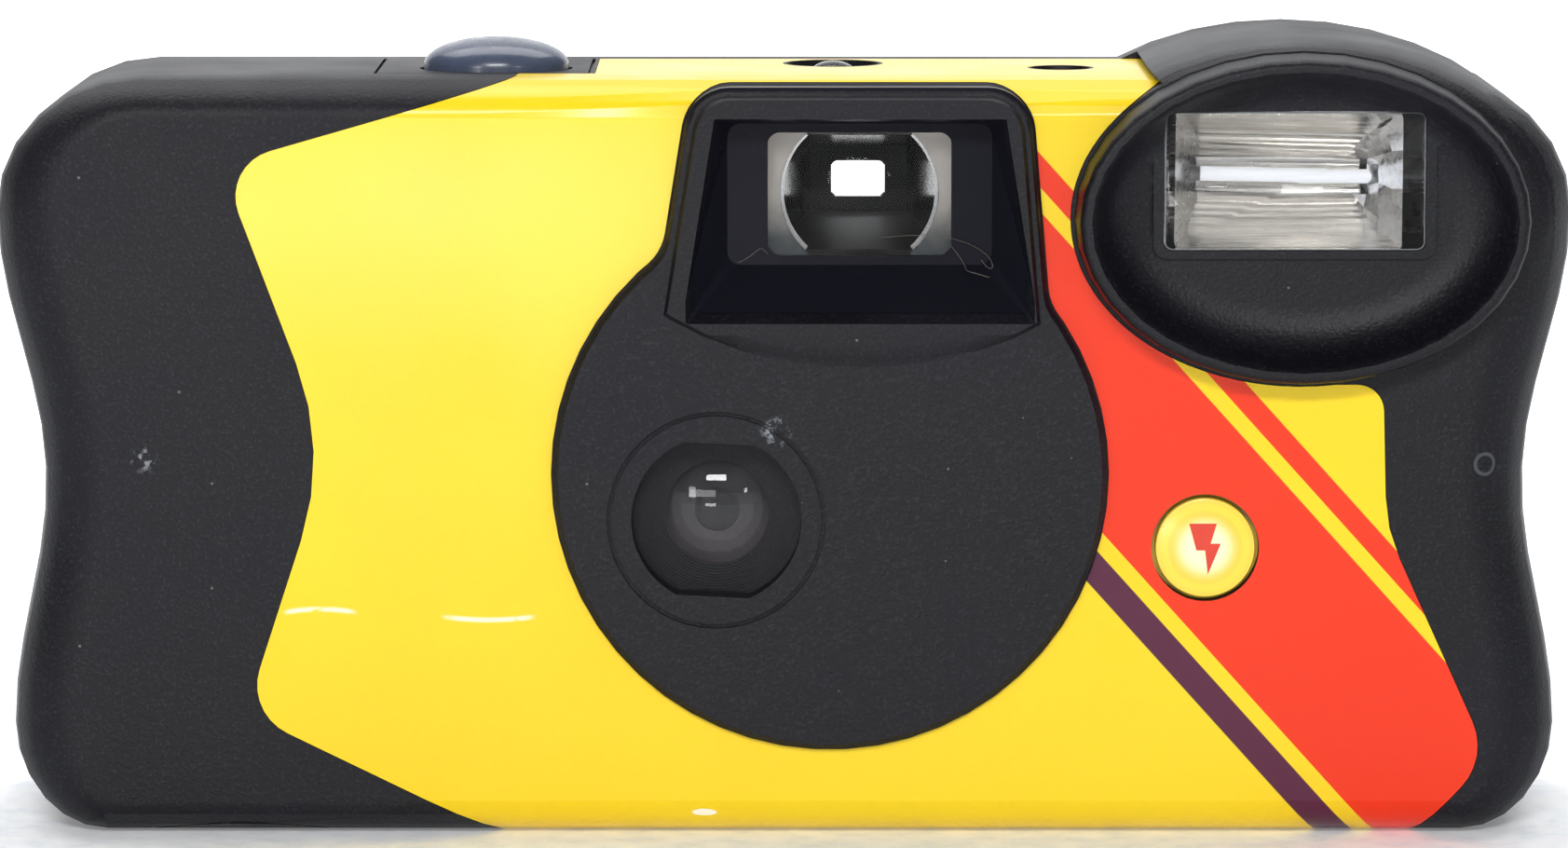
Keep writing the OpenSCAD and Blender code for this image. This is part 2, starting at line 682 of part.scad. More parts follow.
// Ringed seat that steps down to the lens
module lens_retainer() color([0.12, 0.12, 0.14]) about_lens() difference() {
    translate([lens_seat - seat_lip, seat_y])
        square([seat_r - lens_seat + seat_lip, plate_y - nest_gap - seat_y]);
    translate([0, lens_y]) square([lens_seat, lens_t + 1]);
    for (k = [0:baffles - 1])
        translate([0, seat_y - 1])
            square([lens_hole_r - 0.1 - k * (lens_hole_r - lens_seat + seat_lip / 2) / (baffles - 1),
                1 + (k + 1) * (lens_y - 0.35 - seat_y) / baffles]);
}
// Meniscus: bulging to the front, hollow to the back
lens_front_r = 9;
lens_back_r = 14;
module taking_lens() color([0.75, 0.8, 0.85]) about_lens() difference() {
    intersection() {
        translate([0, lens_y]) square([lens_d / 2, lens_t]);
        translate([0, lens_y + 0.2 + lens_front_r]) circle(lens_front_r, $fn = 96);
    }
    translate([0, lens_y + lens_t - 0.3 + lens_back_r]) circle(lens_back_r, $fn = 96);
}
aperture_d = 3.2;
module aperture_plate() color([0.1, 0.1, 0.11]) difference() {
    rod_y(lens_x, lens_z, plate_y, plate_y + plate_t, seat_r);
    rod_y(lens_x, lens_z, plate_y - 1, plate_y + plate_t + 1, aperture_d / 2);
}

// Leaf that swings off the lens, with an arm up to the striker
blade_arm = [-9.3, 6.5];
pivot_x = lens_x + blade_arm.x;
pivot_z = lens_z + blade_arm.y;
leaf_r = 4;
blade_boss = 2.2;
blade_w = 3;
arm_t = 1.6;
pin_r = 0.9;
pin_nose = 2.4;
arm_top = deck_z + deck_t + 2.4;
module shutter_blade() color([0.25, 0.25, 0.27]) difference() {
    front_push(blade_y, blade_y + blade_t) {
        translate([lens_x, lens_z]) circle(leaf_r);
        translate([pivot_x, pivot_z]) circle(blade_boss);
        translate([pivot_x, pivot_z]) rotate(atan2(-blade_arm.y, -blade_arm.x))
            translate([0, -blade_w / 2]) square([norm(blade_arm), blade_w]);
        translate([pivot_x - arm_t / 2, pivot_z]) square([arm_t, arm_top - pivot_z]);
    }
    rod_y(pivot_x, pivot_z, blade_y - 1, blade_y + blade_t + 1, pin_r + shaft_gap);
}

// Tapered tunnel with the shutter plate on its nose
gate_lip = 1.2;
nose_w = 12.4;
nose_h = 10.4;
nose_wall = 1;
nose_t = 1;
box_back = film_y - 0.6;
pad_at = [5.4, -4.2];
nose_pad_r = 0.8;
module taper(w0, h0, w1, h1, y0, y1) {
    hull() {
        translate([lens_x - w0 / 2, y0, lens_z - h0 / 2]) cube([w0, eps, h0]);
        translate([lens_x - w1 / 2, y1 - eps, lens_z - h1 / 2]) cube([w1, eps, h1]);
    }
}
module light_box() color([0.1, 0.1, 0.11]) {
    difference() {
        union() {
            taper(nose_w, nose_h, gate_w + 2 * gate_lip, gate_h + 2 * gate_lip, box_y + nose_t - eps,
                box_back);
            block([lens_x - nose_w, box_y, cell_z + cell_d / 2 + run_gap],
                [lens_x + nose_w + 1.6, box_y + nose_t, lens_z + 10]);
        }
        taper(nose_w - 2 * nose_wall, nose_h - 2 * nose_wall, gate_w, gate_h, box_y + nose_t, box_back + eps);
        rod_y(lens_x, lens_z, box_y - 1, box_y + nose_t + 1, lens_d / 2);
    }
    // Blade pin, and two pads that carry the aperture plate
    rod_y(pivot_x, pivot_z, blade_y - pin_nose, box_y + eps, pin_r);
    for (i = [-1, 1])
        rod_y(lens_x + i * pad_at.x, lens_z + pad_at.y, plate_y + plate_t, box_y + eps, nose_pad_r);
}

// Leaf that the open blade touches to fire the flash
sync_x = lens_x + 7.2;
sync_l = 3;
module sync_contact() color([0.8, 0.65, 0.3]) {
    block([sync_x + sync_l, blade_y + 0.1, pivot_z - 2], [sync_x + 2 * sync_l, box_y, pivot_z + 1]);
    block([sync_x, blade_y + 0.1, pivot_z - 1], [sync_x + sync_l + eps, blade_y + 0.3, pivot_z]);
}

// Film cartridge, roll and winding

cap_t = 1;
collar_r = 5.2;
hub_r = 3.2;
lip_x = cart_x + sqrt(pow(can_r, 2) - pow(film_y - cart_y, 2));
film_t = 0.2;
film_slot = 0.3;
can_wall = 0.5;
lip_l = 1.6;
web_t = 1.6;
web_drop = 4;
spool_rim = 0.8;
fork_l = 7;
module film_can_shell() color([0.85, 0.72, 0.2]) difference() {
    union() {
        post(cart_x, cart_y, can_z + cap_t, can_z + can_h - cap_t, can_r);
        block([lip_x - 4, film_y - 1, can_z + cap_t], [lip_x + lip_l, film_y + 1, can_z + can_h - cap_t]);
    }
    post(cart_x, cart_y, can_z, can_z + can_h, can_r - can_wall);
    block([lip_x - 6, film_y - film_slot, can_z], [lip_x + 3, film_y + film_slot, can_z + can_h]);
}
module film_can_caps() color([0.2, 0.2, 0.22]) for (z = [can_z, can_z + can_h - cap_t]) difference() {
    post(cart_x, cart_y, z, z + cap_t, can_r);
    post(cart_x, cart_y, z - 1, z + cap_t + 1, collar_r + shaft_gap);
}
// Spool with flanges inside the can, and a web across its bore for the fork
module cartridge_spool() color([0.15, 0.15, 0.17]) difference() {
    union() {
        post(cart_x, cart_y, can_z, wheel_z - run_gap, collar_r);
        for (z = [can_z + cap_t + run_gap, can_z + can_h - cap_t - run_gap - spool_rim])
            post(cart_x, cart_y, z, z + spool_rim, can_r - can_wall - 0.7);
    }
    difference() {
        post(cart_x, cart_y, wheel_z - fork_l - 1, wheel_z + 1, hub_r);
        block([cart_x - web_t / 2, cart_y - hub_r - 1, wheel_z - fork_l - 2],
            [cart_x + web_t / 2, cart_y + hub_r + 1, wheel_z - web_drop]);
    }
    post(cart_x, cart_y, can_z - 1, can_z + 6, hub_r);
}
// Wheel with grips round its edge and a fork that straddles the spool's web
grip_r = 0.8;
grip_out = 0.35;
module thumbwheel() color([0.13, 0.13, 0.15]) difference() {
    union() {
        post(cart_x, cart_y, wheel_z, wheel_z + wheel_t, wheel_r);
        difference() {
            post(cart_x, cart_y, wheel_z - fork_l, wheel_z + eps, hub_r - nest_gap);
            block([cart_x - web_t / 2 - nest_gap, cart_y - hub_r, wheel_z - fork_l - 1],
                [cart_x + web_t / 2 + nest_gap, cart_y + hub_r, wheel_z - web_drop + nest_gap]);
        }
    }
    for (k = [0:wheel_grips - 1])
        rotate_about(cart_x, cart_y, 360 * k / wheel_grips)
            post(cart_x + wheel_r + grip_out, cart_y, wheel_z - 1, wheel_z + wheel_t + 1, grip_r);
    post(cart_x, cart_y, wheel_z + 1.2, wheel_z + wheel_t + 1, spindle_r + run_gap);
}
module rotate_about(x, y, a) {
    translate([x, y, 0]) rotate(a) translate([-x, -y, 0]) children();
}

// Film across the gate, with a row of perforations open for the sprocket
sprocket_r = 5.6;
tooth_h = 0.9;
teeth = 8;
sprocket_x = cart_x + can_r + sprocket_r + tooth_h + 0.9;
sprocket_y = film_y - film_t / 2 - run_gap - sprocket_r;
row_z = film_z + film_w - 2;
row_h = 2;
supply_x = half_w - 21.3;
spool_side = 0.2;
perforation_l = 8.4;
supply_y = film_y - film_t / 2 - run_gap - roll_r;
module film_strip() color([0.35, 0.22, 0.16]) difference() {
    block([lip_x - 2.5, film_y - film_t / 2, film_z], [supply_x, film_y + film_t / 2, film_z + film_w]);
    block([sprocket_x - perforation_l / 2, film_y - 1, row_z - row_h / 2 - run_gap],
        [sprocket_x + perforation_l / 2, film_y + 1, row_z + row_h / 2 + run_gap]);
}
spool_flange = 0.7;
bore_r = 2;
module film_roll() color([0.32, 0.2, 0.15]) difference() {
    post(supply_x, supply_y, film_z, film_z + film_w, roll_r);
    post(supply_x, supply_y, film_z - 1, film_z + film_w + 1, core_r + nest_gap);
}
module supply_spool() color([0.16, 0.16, 0.18]) difference() {
    union() {
        post(supply_x, supply_y, film_z - spool_side - spool_flange,
            film_z + film_w + spool_side + spool_flange, core_r);
        for (z = [film_z - spool_side - spool_flange, film_z + film_w + spool_side])
            post(supply_x, supply_y, z, z + spool_flange, roll_r + 2 * spool_side);
    }
    post(supply_x, supply_y, film_z - 2, film_z + film_w + 2, bore_r + shaft_gap);
}

// Winding and release mechanism on the deck

shaft_r = 1.6;
cam_z = deck_z + deck_t + run_gap;
cam_t = 1.8;
cam_r = 3.4;
keeper_t = 1;
lever_room = 7.6;
keeper_z = deck_z + deck_t + lever_room;
cam_flat = 1.9;
shaft_end_r = 1;
// Sprocket, shaft and cocking cam in one moulding
module sprocket_cam() color([0.85, 0.84, 0.8]) {
    post(sprocket_x, sprocket_y, row_z - row_h / 2, row_z + row_h / 2, sprocket_r);
    for (k = [0:teeth - 1])
        rotate_about(sprocket_x, sprocket_y, 90 + 360 * k / teeth) hull_tooth();
    post(sprocket_x, sprocket_y, row_z, keeper_z - run_gap, shaft_r);
    post(sprocket_x, sprocket_y, keeper_z - run_gap - eps, keeper_z + keeper_t, shaft_end_r);
    difference() {
        post(sprocket_x, sprocket_y, cam_z, cam_z + cam_t, cam_r);
        block([sprocket_x + cam_flat, sprocket_y - cam_r, cam_z - 1],
            [sprocket_x + cam_r + 1, sprocket_y, cam_z + cam_t + 1]);
    }
}
// Pointed tooth on the +X side of the sprocket
module hull_tooth() {
    translate([sprocket_x, sprocket_y, row_z - row_h / 2]) linear_extrude(row_h)
        polygon([[sprocket_r - 0.4, -0.8], [sprocket_r + tooth_h, -0.35], [sprocket_r + tooth_h, 0.35],
            [sprocket_r - 0.4, 0.8]]);
}

// Lever in the plan view: boss on a post, and arms to the given points
module lever_arm(x, y, p, w) {
    translate([x, y]) rotate(atan2(p.y, p.x)) translate([0, -w / 2]) square([norm(p), w]);
    translate([x + p.x, y + p.y]) circle(w / 2);
}
module lever(x, y, z, t, arms, w, bore) {
    difference() {
        translate([0, 0, z]) linear_extrude(t) {
            translate([x, y]) circle(bore + lever_boss);
            for (p = arms) lever_arm(x, y, p, w);
        }
        post(x, y, z - 1, z + t + 1, bore + shaft_gap);
    }
}
lever_t = 1.6;
lever_boss = 1.1;
striker_pin = 1.2;
striker_x = pivot_x + 3;
striker_y = blade_y + 5.9;
striker_arms = [[-0.9, blade_y + blade_t / 2 - striker_y], [-4.5, 3.6]];
module striker_lever() color([0.6, 0.6, 0.62])
    lever(striker_x, striker_y, cam_z, lever_t, striker_arms, 1.5, striker_pin);

meter_pin = 1.2;
meter_x = striker_x - 2.6;
meter_y = sprocket_y - 0.9;
meter_z = cam_z + cam_t + 1.2;
// The pressed button's stem stops just over the lever
stem_end = meter_z + lever_t + button_travel + 0.4;
meter_arms = [[cart_x + wheel_r + 1.6 - meter_x, cart_y - meter_y - 1], [-1.2, -5.4]];
module metering_lever() color([0.85, 0.84, 0.8])
    lever(meter_x, meter_y, meter_z, lever_t, meter_arms, 1.4, meter_pin);

// Dial under the counter window, with marks cut round its edge
dial_r = 9.4;
dial_t = 0.8;
dial_reach = 7.2;
dial_x = counter_x - dial_reach;
dial_z = inner_top - window_lip - run_gap - dial_t;
dial_pin = 0.9;
dial_post_r = 1.6;
dial_marks = 28;
mark_l = 0.6;
mark_w = 0.7;
module counter_wheel() color([0.9, 0.9, 0.88]) difference() {
    post(dial_x, counter_y, dial_z, dial_z + dial_t, dial_r);
    post(dial_x, counter_y, dial_z - 1, dial_z + dial_t + 1, dial_pin + shaft_gap);
    for (k = [0:dial_marks - 1])
        rotate_about(dial_x, counter_y, 360 * k / dial_marks)
            block([dial_x + dial_r - mark_l, counter_y - mark_w / 2, dial_z - 1],
                [dial_x + dial_r + 1, counter_y + mark_w / 2, dial_z + 2]);
}

// Plate over the levers
keeper_x0 = cart_x + wheel_r + 0.8;
keeper_x1 = striker_x + 3;
module keeper_plate() color([0.55, 0.55, 0.58]) difference() {
    block([keeper_x0, striker_y - 3.4, keeper_z], [keeper_x1, sprocket_y + 3, keeper_z + keeper_t]);
    post(sprocket_x, sprocket_y, keeper_z - 1, keeper_z + 2, shaft_end_r + shaft_gap);
    post(striker_x, striker_y, keeper_z - 1, keeper_z + 2, striker_pin + nest_gap);
    post(meter_x, meter_y, keeper_z - 1, keeper_z + 2, meter_pin + nest_gap);
    post(button_x, button_y, keeper_z - 1, keeper_z + 2, stem_r + run_gap);
}

// Chassis: gate plate, deck, finder tunnel, posts and spool arms
frame_y0 = film_y - 2.2;
frame_y1 = box_back;
frame_x0 = cart_x + can_r + 0.4;
frame_x1 = lens_x + gate_w / 2 + 3;
frame_floor = film_z - 1.4;
arm_w = 5;
low_arm_t = 1.6;
chamber_t = 1;
chamber_y = cell_y + cell_d / 2 + 0.6;
tunnel_wall = 0.8;
row_room = 0.4;
gate_grow = gate_lip + nest_gap;
tunnel_w = finder_w - 0.6;
tunnel_h = finder_h - 0.4;
tunnel_y0 = pocket_y + pocket_wall + 1;
tunnel_y1 = inner_rear - 2.1;
mask_r = 5.9;
pin_grip = 4;
spool_arm_t = 1.4;
spool_low = film_z - spool_side - spool_flange - run_gap;
spool_high = film_z + film_w + spool_side + spool_flange + run_gap;
module main_frame() color([0.2, 0.2, 0.22]) {
    difference() {
        union() {
            block([frame_x0, frame_y0, frame_floor], [frame_x1, frame_y1, deck_z + deck_t]);
            block([frame_x0, box_y + nose_t + 0.4, deck_z], [frame_x1, frame_y1, deck_z + deck_t]);
            // Side walls of the two film chambers
            block([frame_x0, chamber_y, frame_floor],
                [frame_x0 + chamber_t, frame_y1, row_z - row_h / 2 - 0.6]);
            block([frame_x1 - chamber_t, chamber_y, frame_floor], [frame_x1, frame_y1, deck_z + eps]);
            // Finder tunnel
            block([finder_x - tunnel_w / 2 - tunnel_wall, tunnel_y0, deck_z],
                [finder_x + tunnel_w / 2 + tunnel_wall, tunnel_y1, finder_z + tunnel_h / 2 + 0.5]);
            // Arms over and under the supply spool
            block([frame_x1 - eps, frame_y0, spool_low - low_arm_t],
                [supply_x + arm_w / 2, frame_y1, spool_low]);
            block([supply_x - arm_w / 2, supply_y - arm_w / 2, spool_low - low_arm_t],
                [supply_x + arm_w / 2, frame_y1, spool_low]);
            block([frame_x1 - eps, supply_y - arm_w / 2, spool_high],
                [supply_x + arm_w / 2, supply_y + arm_w / 2, spool_high + spool_arm_t]);
        }
        // Gate opening that the light box fills
        block([lens_x - gate_w / 2 - gate_grow, frame_y0 - 1, lens_z - gate_h / 2 - gate_grow],
            [lens_x + gate_w / 2 + gate_grow, frame_y1 + 1, lens_z + gate_h / 2 + gate_grow]);
        // Room for the sprocket
        post(sprocket_x, sprocket_y, row_z - row_h / 2 - row_room, row_z + row_h / 2 + row_room,
            sprocket_r + tooth_h + run_gap);
        post(sprocket_x, sprocket_y, deck_z - 1, deck_z + deck_t + 1, shaft_r + shaft_gap);
        block([finder_x - tunnel_w / 2, tunnel_y0 + 1, finder_z - tunnel_h / 2],
            [finder_x + tunnel_w / 2, tunnel_y1 + 1, finder_z + tunnel_h / 2]);
        intersection() {
            rod_y(finder_x, finder_z, tunnel_y0 - 1, tunnel_y0 + 2, mask_r);
            block([finder_x - tunnel_w / 2, tunnel_y0 - 1, finder_z - tunnel_h / 2],
                [finder_x + tunnel_w / 2, tunnel_y0 + 2, finder_z + tunnel_h / 2]);
        }
    }
    post(striker_x, striker_y, deck_z, keeper_z + keeper_t, striker_pin);
    post(meter_x, meter_y, deck_z, keeper_z + keeper_t, meter_pin);
    post(dial_x, counter_y, deck_z, dial_z - run_gap, dial_post_r);
    post(dial_x, counter_y, deck_z, dial_z + dial_t, dial_pin);
    post(supply_x, supply_y, spool_low - eps, spool_low + pin_grip, bore_r);
    post(supply_x, supply_y, spool_high - pin_grip, spool_high + eps, bore_r);
}

// Film door: the piece of the bottom under the cartridge, hung on its straight rear edge
hinge_y = part_y - 0.9;
module film_door() color([0.14, 0.14, 0.16]) {
    intersection() {
        difference() {
            front_solid(0);
            front_solid(door_t, part_y + 1);
        }
        intersection() {
            post(cart_x, cart_y, -1, can_z, door_r);
            block([-half_w, front_y - 1, -1], [half_w, hinge_y, can_z]);
        }
    }
    rod_x(cart_x - can_r + 1.5, cart_x + can_r - 1.5, hinge_y, door_t / 2, door_t / 2 - 0.06);
}

// Battery and its contacts

module battery() color([0.2, 0.2, 0.2]) {
    rod_x(cell_x - cell_l / 2, cell_x + cell_l / 2, cell_y, cell_z, cell_d / 2);
    rod_x(cell_x + cell_l / 2 - eps, cell_x + cell_l / 2 + cell_nub, cell_y, cell_z, nub_r);
}
contact_w = 9;
module leaf(x) {
    block([x, cell_y - contact_w / 2, wall + nest_gap],
        [x + contact_t, cell_y + contact_w / 2, cell_z + contact_w / 2]);
}
module battery_contact_plus() color([0.75, 0.75, 0.72]) leaf(plus_x);
module battery_contact_minus() color([0.75, 0.75, 0.72]) leaf(minus_x);

// Flash

board_y = charge_back + charge_travel + 0.15;
board_t = 1.2;
board_x1 = half_w - waist_in - wall - 1.6;
board_low = plus_x + contact_t + rib_t + 1.5;
board_x0 = charge_x - 10;
board_z0 = wall + 2.5;
board_step = cell_z + cell_d / 2 + 1.2;
board_top = pod_z - pod_rz + 6;
pad_r = 3.2;
module flash_board() color([0.18, 0.4, 0.25]) difference() {
    front_push(board_y, board_y + board_t) polygon([[board_low, board_z0], [board_x1, board_z0],
        [board_x1, board_top], [board_x0, board_top], [board_x0, board_step], [board_low, board_step]]);
    rod_y(charge_x, charge_z, board_y - 1, board_y + board_t + 1, pad_r + nest_gap);
}
module charge_contact() color([0.8, 0.65, 0.3])
    rod_y(charge_x, charge_z, board_y + 0.2, board_y + 0.8, pad_r);

// Capacitor lying behind the flash, with its two legs
cap_r = 5;
cap_l = 24;
leg_l = 1.5;
leg_gap = 4.4;
leg_r = 0.3;
cap_x = pod_x - 1.4;
cap_y = 6;
cap_z = spool_high + spool_arm_t + run_gap + cap_r;
module flash_capacitor() color([0.15, 0.17, 0.22]) {
    rod_x(cap_x - cap_l / 2, cap_x + cap_l / 2, cap_y, cap_z, cap_r);
    for (i = [-1, 1])
        rod_x(cap_x - cap_l / 2 - leg_l, cap_x - cap_l / 2 + eps, cap_y + i * leg_gap / 2, cap_z, leg_r);
}
core_w = 5.8;
core_h = 9;
core_x = board_x1 - core_w - 0.4;
core_z = lens_z + 1;
core_t = 1.2;
winding_l = 2.4;
winding_r = 2.4;
core_y = board_y + board_t;
// Winding between two cheeks of the core
module flash_transformer() color([0.75, 0.6, 0.2]) {
    for (y = [core_y, core_y + core_t + winding_l])
        block([core_x, y, core_z], [core_x + core_w, y + core_t, core_z + core_h]);
    rod_y(core_x + core_w / 2, core_z + core_h / 2, core_y + core_t - eps, core_y + core_t + winding_l + eps,
        winding_r);
}

// Trough reflector: a parabola pushed along the tube, closed at both ends
trough_y0 = inner_front + 0.9;
trough_d = 6.2;
trough_t = 0.4;
trough_x0 = flash_x - flash_w / 2 + 0.7;
trough_x1 = flash_x + flash_w / 2 - 1.4;
trough_steps = 8;
function parabola(h, d) = [for (k = [-trough_steps:trough_steps]) let (t = k / trough_steps)
    [d * (1 - t * t), h * t]];
module trough(h, d, x0, x1) {
    translate([x0, trough_y0, flash_z]) rotate([90, 0, 90]) linear_extrude(x1 - x0) polygon(parabola(h, d));
}
module flash_reflector() color([0.85, 0.85, 0.85]) difference() {
    trough(flash_h / 2, trough_d, trough_x0, trough_x1);
    translate([0, -eps, 0])
        trough(flash_h / 2 - trough_t, trough_d - trough_t, trough_x0 + trough_t, trough_x1 - trough_t);
    rod_x(trough_x0 - 1, trough_x1 + 1, tube_y, flash_z, tube_d / 2 + nest_gap);
}
tube_y = trough_y0 + trough_d - 2.6;
tube_l = flash_w + 7;
tube_wire_l = 1.6;
tube_wire_r = 0.5;
module flash_tube() color([0.85, 0.88, 0.9]) {
    rod_x(flash_x - tube_l / 2, flash_x + tube_l / 2, tube_y, flash_z, tube_d / 2);
    for (x = [flash_x - tube_l / 2 - tube_wire_l + 0.1, flash_x + tube_l / 2 - 0.1])
        rod_x(x, x + tube_wire_l, tube_y, flash_z, tube_wire_r);
}
// Clear window with fine grooves along its inner face
lens_ribs = 12;
groove = 0.4;
window_flange = 0.8;
module flash_lens() color([0.85, 0.9, 0.92]) difference() {
    union() {
        soft_plate(flash_x, flash_z, flash_w, flash_h, 0.6, dish_y - 0.5, inner_front + 0.5);
        block([flash_x - flash_w / 2 - window_flange, inner_front + nest_gap, flash_z - flash_h / 2 - 0.5],
            [flash_x + flash_w / 2 + window_flange, inner_front + window_flange, flash_z + flash_h / 2 + 0.5]);
    }
    for (k = [1:lens_ribs - 1])
        translate([flash_x, inner_front + window_flange, flash_z - flash_h / 2 + flash_h * k / lens_ribs])
            rotate([45, 0, 0]) cube([flash_w - 2, groove, groove], center = true);
}

// Springs: coils of wire round the pivots

wire = 0.3;
coil_room = 0.35;
coil_pitch = 0.75;
coil_steps = 10;
wire_sides = 5;
// Closed tube of rings along a coil about Z
function coil_ring(r, a) = [for (s = [0:wire_sides - 1]) let (t = 360 * s / wire_sides)
    [(r + wire / 2 * cos(t)) * cos(a), (r + wire / 2 * cos(t)) * sin(a),
        coil_pitch * a / 360 + wire / 2 * sin(t)]];
module coil(r, turns) {
    loft([for (k = [0:turns * coil_steps]) coil_ring(r, 360 * k / coil_steps)]);
}
module striker_spring() color([0.7, 0.7, 0.7])
    translate([striker_x, striker_y, cam_z + lever_t + 0.5]) coil(striker_pin + coil_room, 3);
module metering_spring() color([0.7, 0.7, 0.7])
    translate([meter_x, meter_y, cam_z + 0.2]) coil(meter_pin + coil_room, 3);
module blade_spring() color([0.7, 0.7, 0.7])
    translate([pivot_x, blade_y - run_gap - wire / 2, pivot_z]) rotate([90, 0, 0]) coil(pin_r + coil_room, 2);

front_cover();
rear_cover();
label();
shutter_button();
charge_button();
counter_window();
ready_light_pipe();
viewfinder_lens();
eyepiece_lens();
taking_lens();
lens_retainer();
aperture_plate();
light_box();
main_frame();
keeper_plate();
shutter_blade();
striker_lever();
metering_lever();
sprocket_cam();
counter_wheel();
thumbwheel();
cartridge_spool();
film_can_shell();
film_can_caps();
film_strip();
film_roll();
supply_spool();
film_door();
battery();
battery_contact_plus();
battery_contact_minus();
flash_board();
flash_capacitor();
flash_transformer();
flash_reflector();
flash_tube();
flash_lens();
ready_lamp();
sync_contact();
charge_contact();
blade_spring();
striker_spring();
metering_spring();
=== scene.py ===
# %% [markdown]
# This lesson dresses a small flash camera for one roll of film.
# The working model comes in as a fixed frame: every piece is already at its real size and place, in metres.
# We copy, refine or replace its pieces, give each one a finish, and set up a plain studio round it.

# %% Load the frame
import json
import math

import bpy
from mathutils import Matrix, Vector


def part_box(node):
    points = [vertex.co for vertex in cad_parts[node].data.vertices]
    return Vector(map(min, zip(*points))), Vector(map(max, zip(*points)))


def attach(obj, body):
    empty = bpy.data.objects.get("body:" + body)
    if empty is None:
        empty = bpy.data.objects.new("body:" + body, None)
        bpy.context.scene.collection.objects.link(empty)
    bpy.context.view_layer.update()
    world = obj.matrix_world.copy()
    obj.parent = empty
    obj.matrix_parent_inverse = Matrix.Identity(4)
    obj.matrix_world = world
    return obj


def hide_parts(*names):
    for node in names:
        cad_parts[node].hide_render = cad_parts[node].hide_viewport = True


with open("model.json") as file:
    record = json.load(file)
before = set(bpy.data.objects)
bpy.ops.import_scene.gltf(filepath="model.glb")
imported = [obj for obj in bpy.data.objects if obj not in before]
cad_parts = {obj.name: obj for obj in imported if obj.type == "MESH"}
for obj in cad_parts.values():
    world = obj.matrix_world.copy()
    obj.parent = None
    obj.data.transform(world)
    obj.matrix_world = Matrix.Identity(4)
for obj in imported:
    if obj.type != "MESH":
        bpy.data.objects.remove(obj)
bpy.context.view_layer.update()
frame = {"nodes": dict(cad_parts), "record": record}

MM = 0.001
nodes = frame["nodes"]
bodies = frame["record"]["behaviour"]["bodies"]
body_of_node = {node: body for body, names in bodies.items() for node in names}
print("nodes in the frame:", len(nodes))

# %% [markdown]
# The photograph looks at the front from a little above, through a long lens.
# So the camera stands about half a metre away and sees a narrow angle, and far edges shrink only a little.
# A helper turns a camera or a lamp so that it looks at a point.

# %% Camera
camera_target = Vector((0.0, 0.0, 29.5)) * MM
camera_distance = 560 * MM
camera_rise = math.radians(7.0)
camera_focal = 170.0


def aim(thing, place, target):
    """Stands a camera or a lamp at a place and turns it to look at a target."""
    thing.location = place
    thing.rotation_euler = (Vector(target) - Vector(place)).to_track_quat("-Z", "Y").to_euler()


camera = bpy.data.objects.new("camera", bpy.data.cameras.new("camera"))
bpy.context.collection.objects.link(camera)
camera.data.lens = camera_focal
camera.data.clip_start = 10 * MM
back_off = Vector((0, -math.cos(camera_rise), math.sin(camera_rise))) * camera_distance
aim(camera, camera_target + back_off, camera_target)
bpy.context.scene.camera = camera
print("camera height in mm:", round(camera.location.z / MM, 1))

# %% [markdown]
# The studio is a pale floor that curves up into a wall, as photographers use to lose the horizon.
# A sweep is one strip of faces: a plane, with its far edge extruded up and the corner rounded by a bevel.
# A few helpers open a piece for editing, select by a test, and close it again. Most later pieces use them.
# The view transform is the plain one, so that white paper comes out white.

# %% Studio floor
bpy.context.scene.view_settings.view_transform = "Standard"


def deselect():
    """Leaves nothing selected, so that an operator acts only on what comes next."""
    bpy.ops.object.select_all(action="DESELECT")


def edit_all(piece):
    """Opens a piece in edit mode with all of it selected."""
    deselect()
    bpy.context.view_layer.objects.active = piece
    piece.select_set(True)
    bpy.ops.object.mode_set(mode="EDIT")
    bpy.ops.mesh.select_all(action="SELECT")


def edit_where(piece, kind, test):
    """Selects what passes a test and stays in edit mode.

    The test gets the centre and normal of a face or vertex, or the centre and direction of an edge.
    """
    bpy.ops.object.mode_set(mode="EDIT")
    bpy.ops.mesh.select_mode(type=kind)
    bpy.ops.mesh.select_all(action="DESELECT")
    bpy.ops.object.mode_set(mode="OBJECT")
    mesh = piece.data
    for item in {"VERT": mesh.vertices, "EDGE": mesh.edges, "FACE": mesh.polygons}[kind]:
        if kind == "EDGE":
            start, end = (mesh.vertices[v].co for v in item.vertices)
            centre, normal = (start + end) / 2, (end - start).normalized()
        else:
            centre, normal = (item.co if kind == "VERT" else item.center), item.normal
        item.select = test(centre, normal)
    bpy.ops.object.mode_set(mode="EDIT")


def done(piece, name, smooth=30):
    """Leaves edit mode, puts the piece's place into its mesh, smooths it by angle and names it."""
    if bpy.context.mode != "OBJECT":
        bpy.ops.object.mode_set(mode="OBJECT")
    deselect()
    bpy.context.view_layer.objects.active = piece
    piece.select_set(True)
    bpy.ops.object.transform_apply(location=True, rotation=True, scale=True)
    bpy.ops.object.shade_smooth_by_angle(angle=math.radians(smooth))
    piece.name = name
    piece.data.name = name


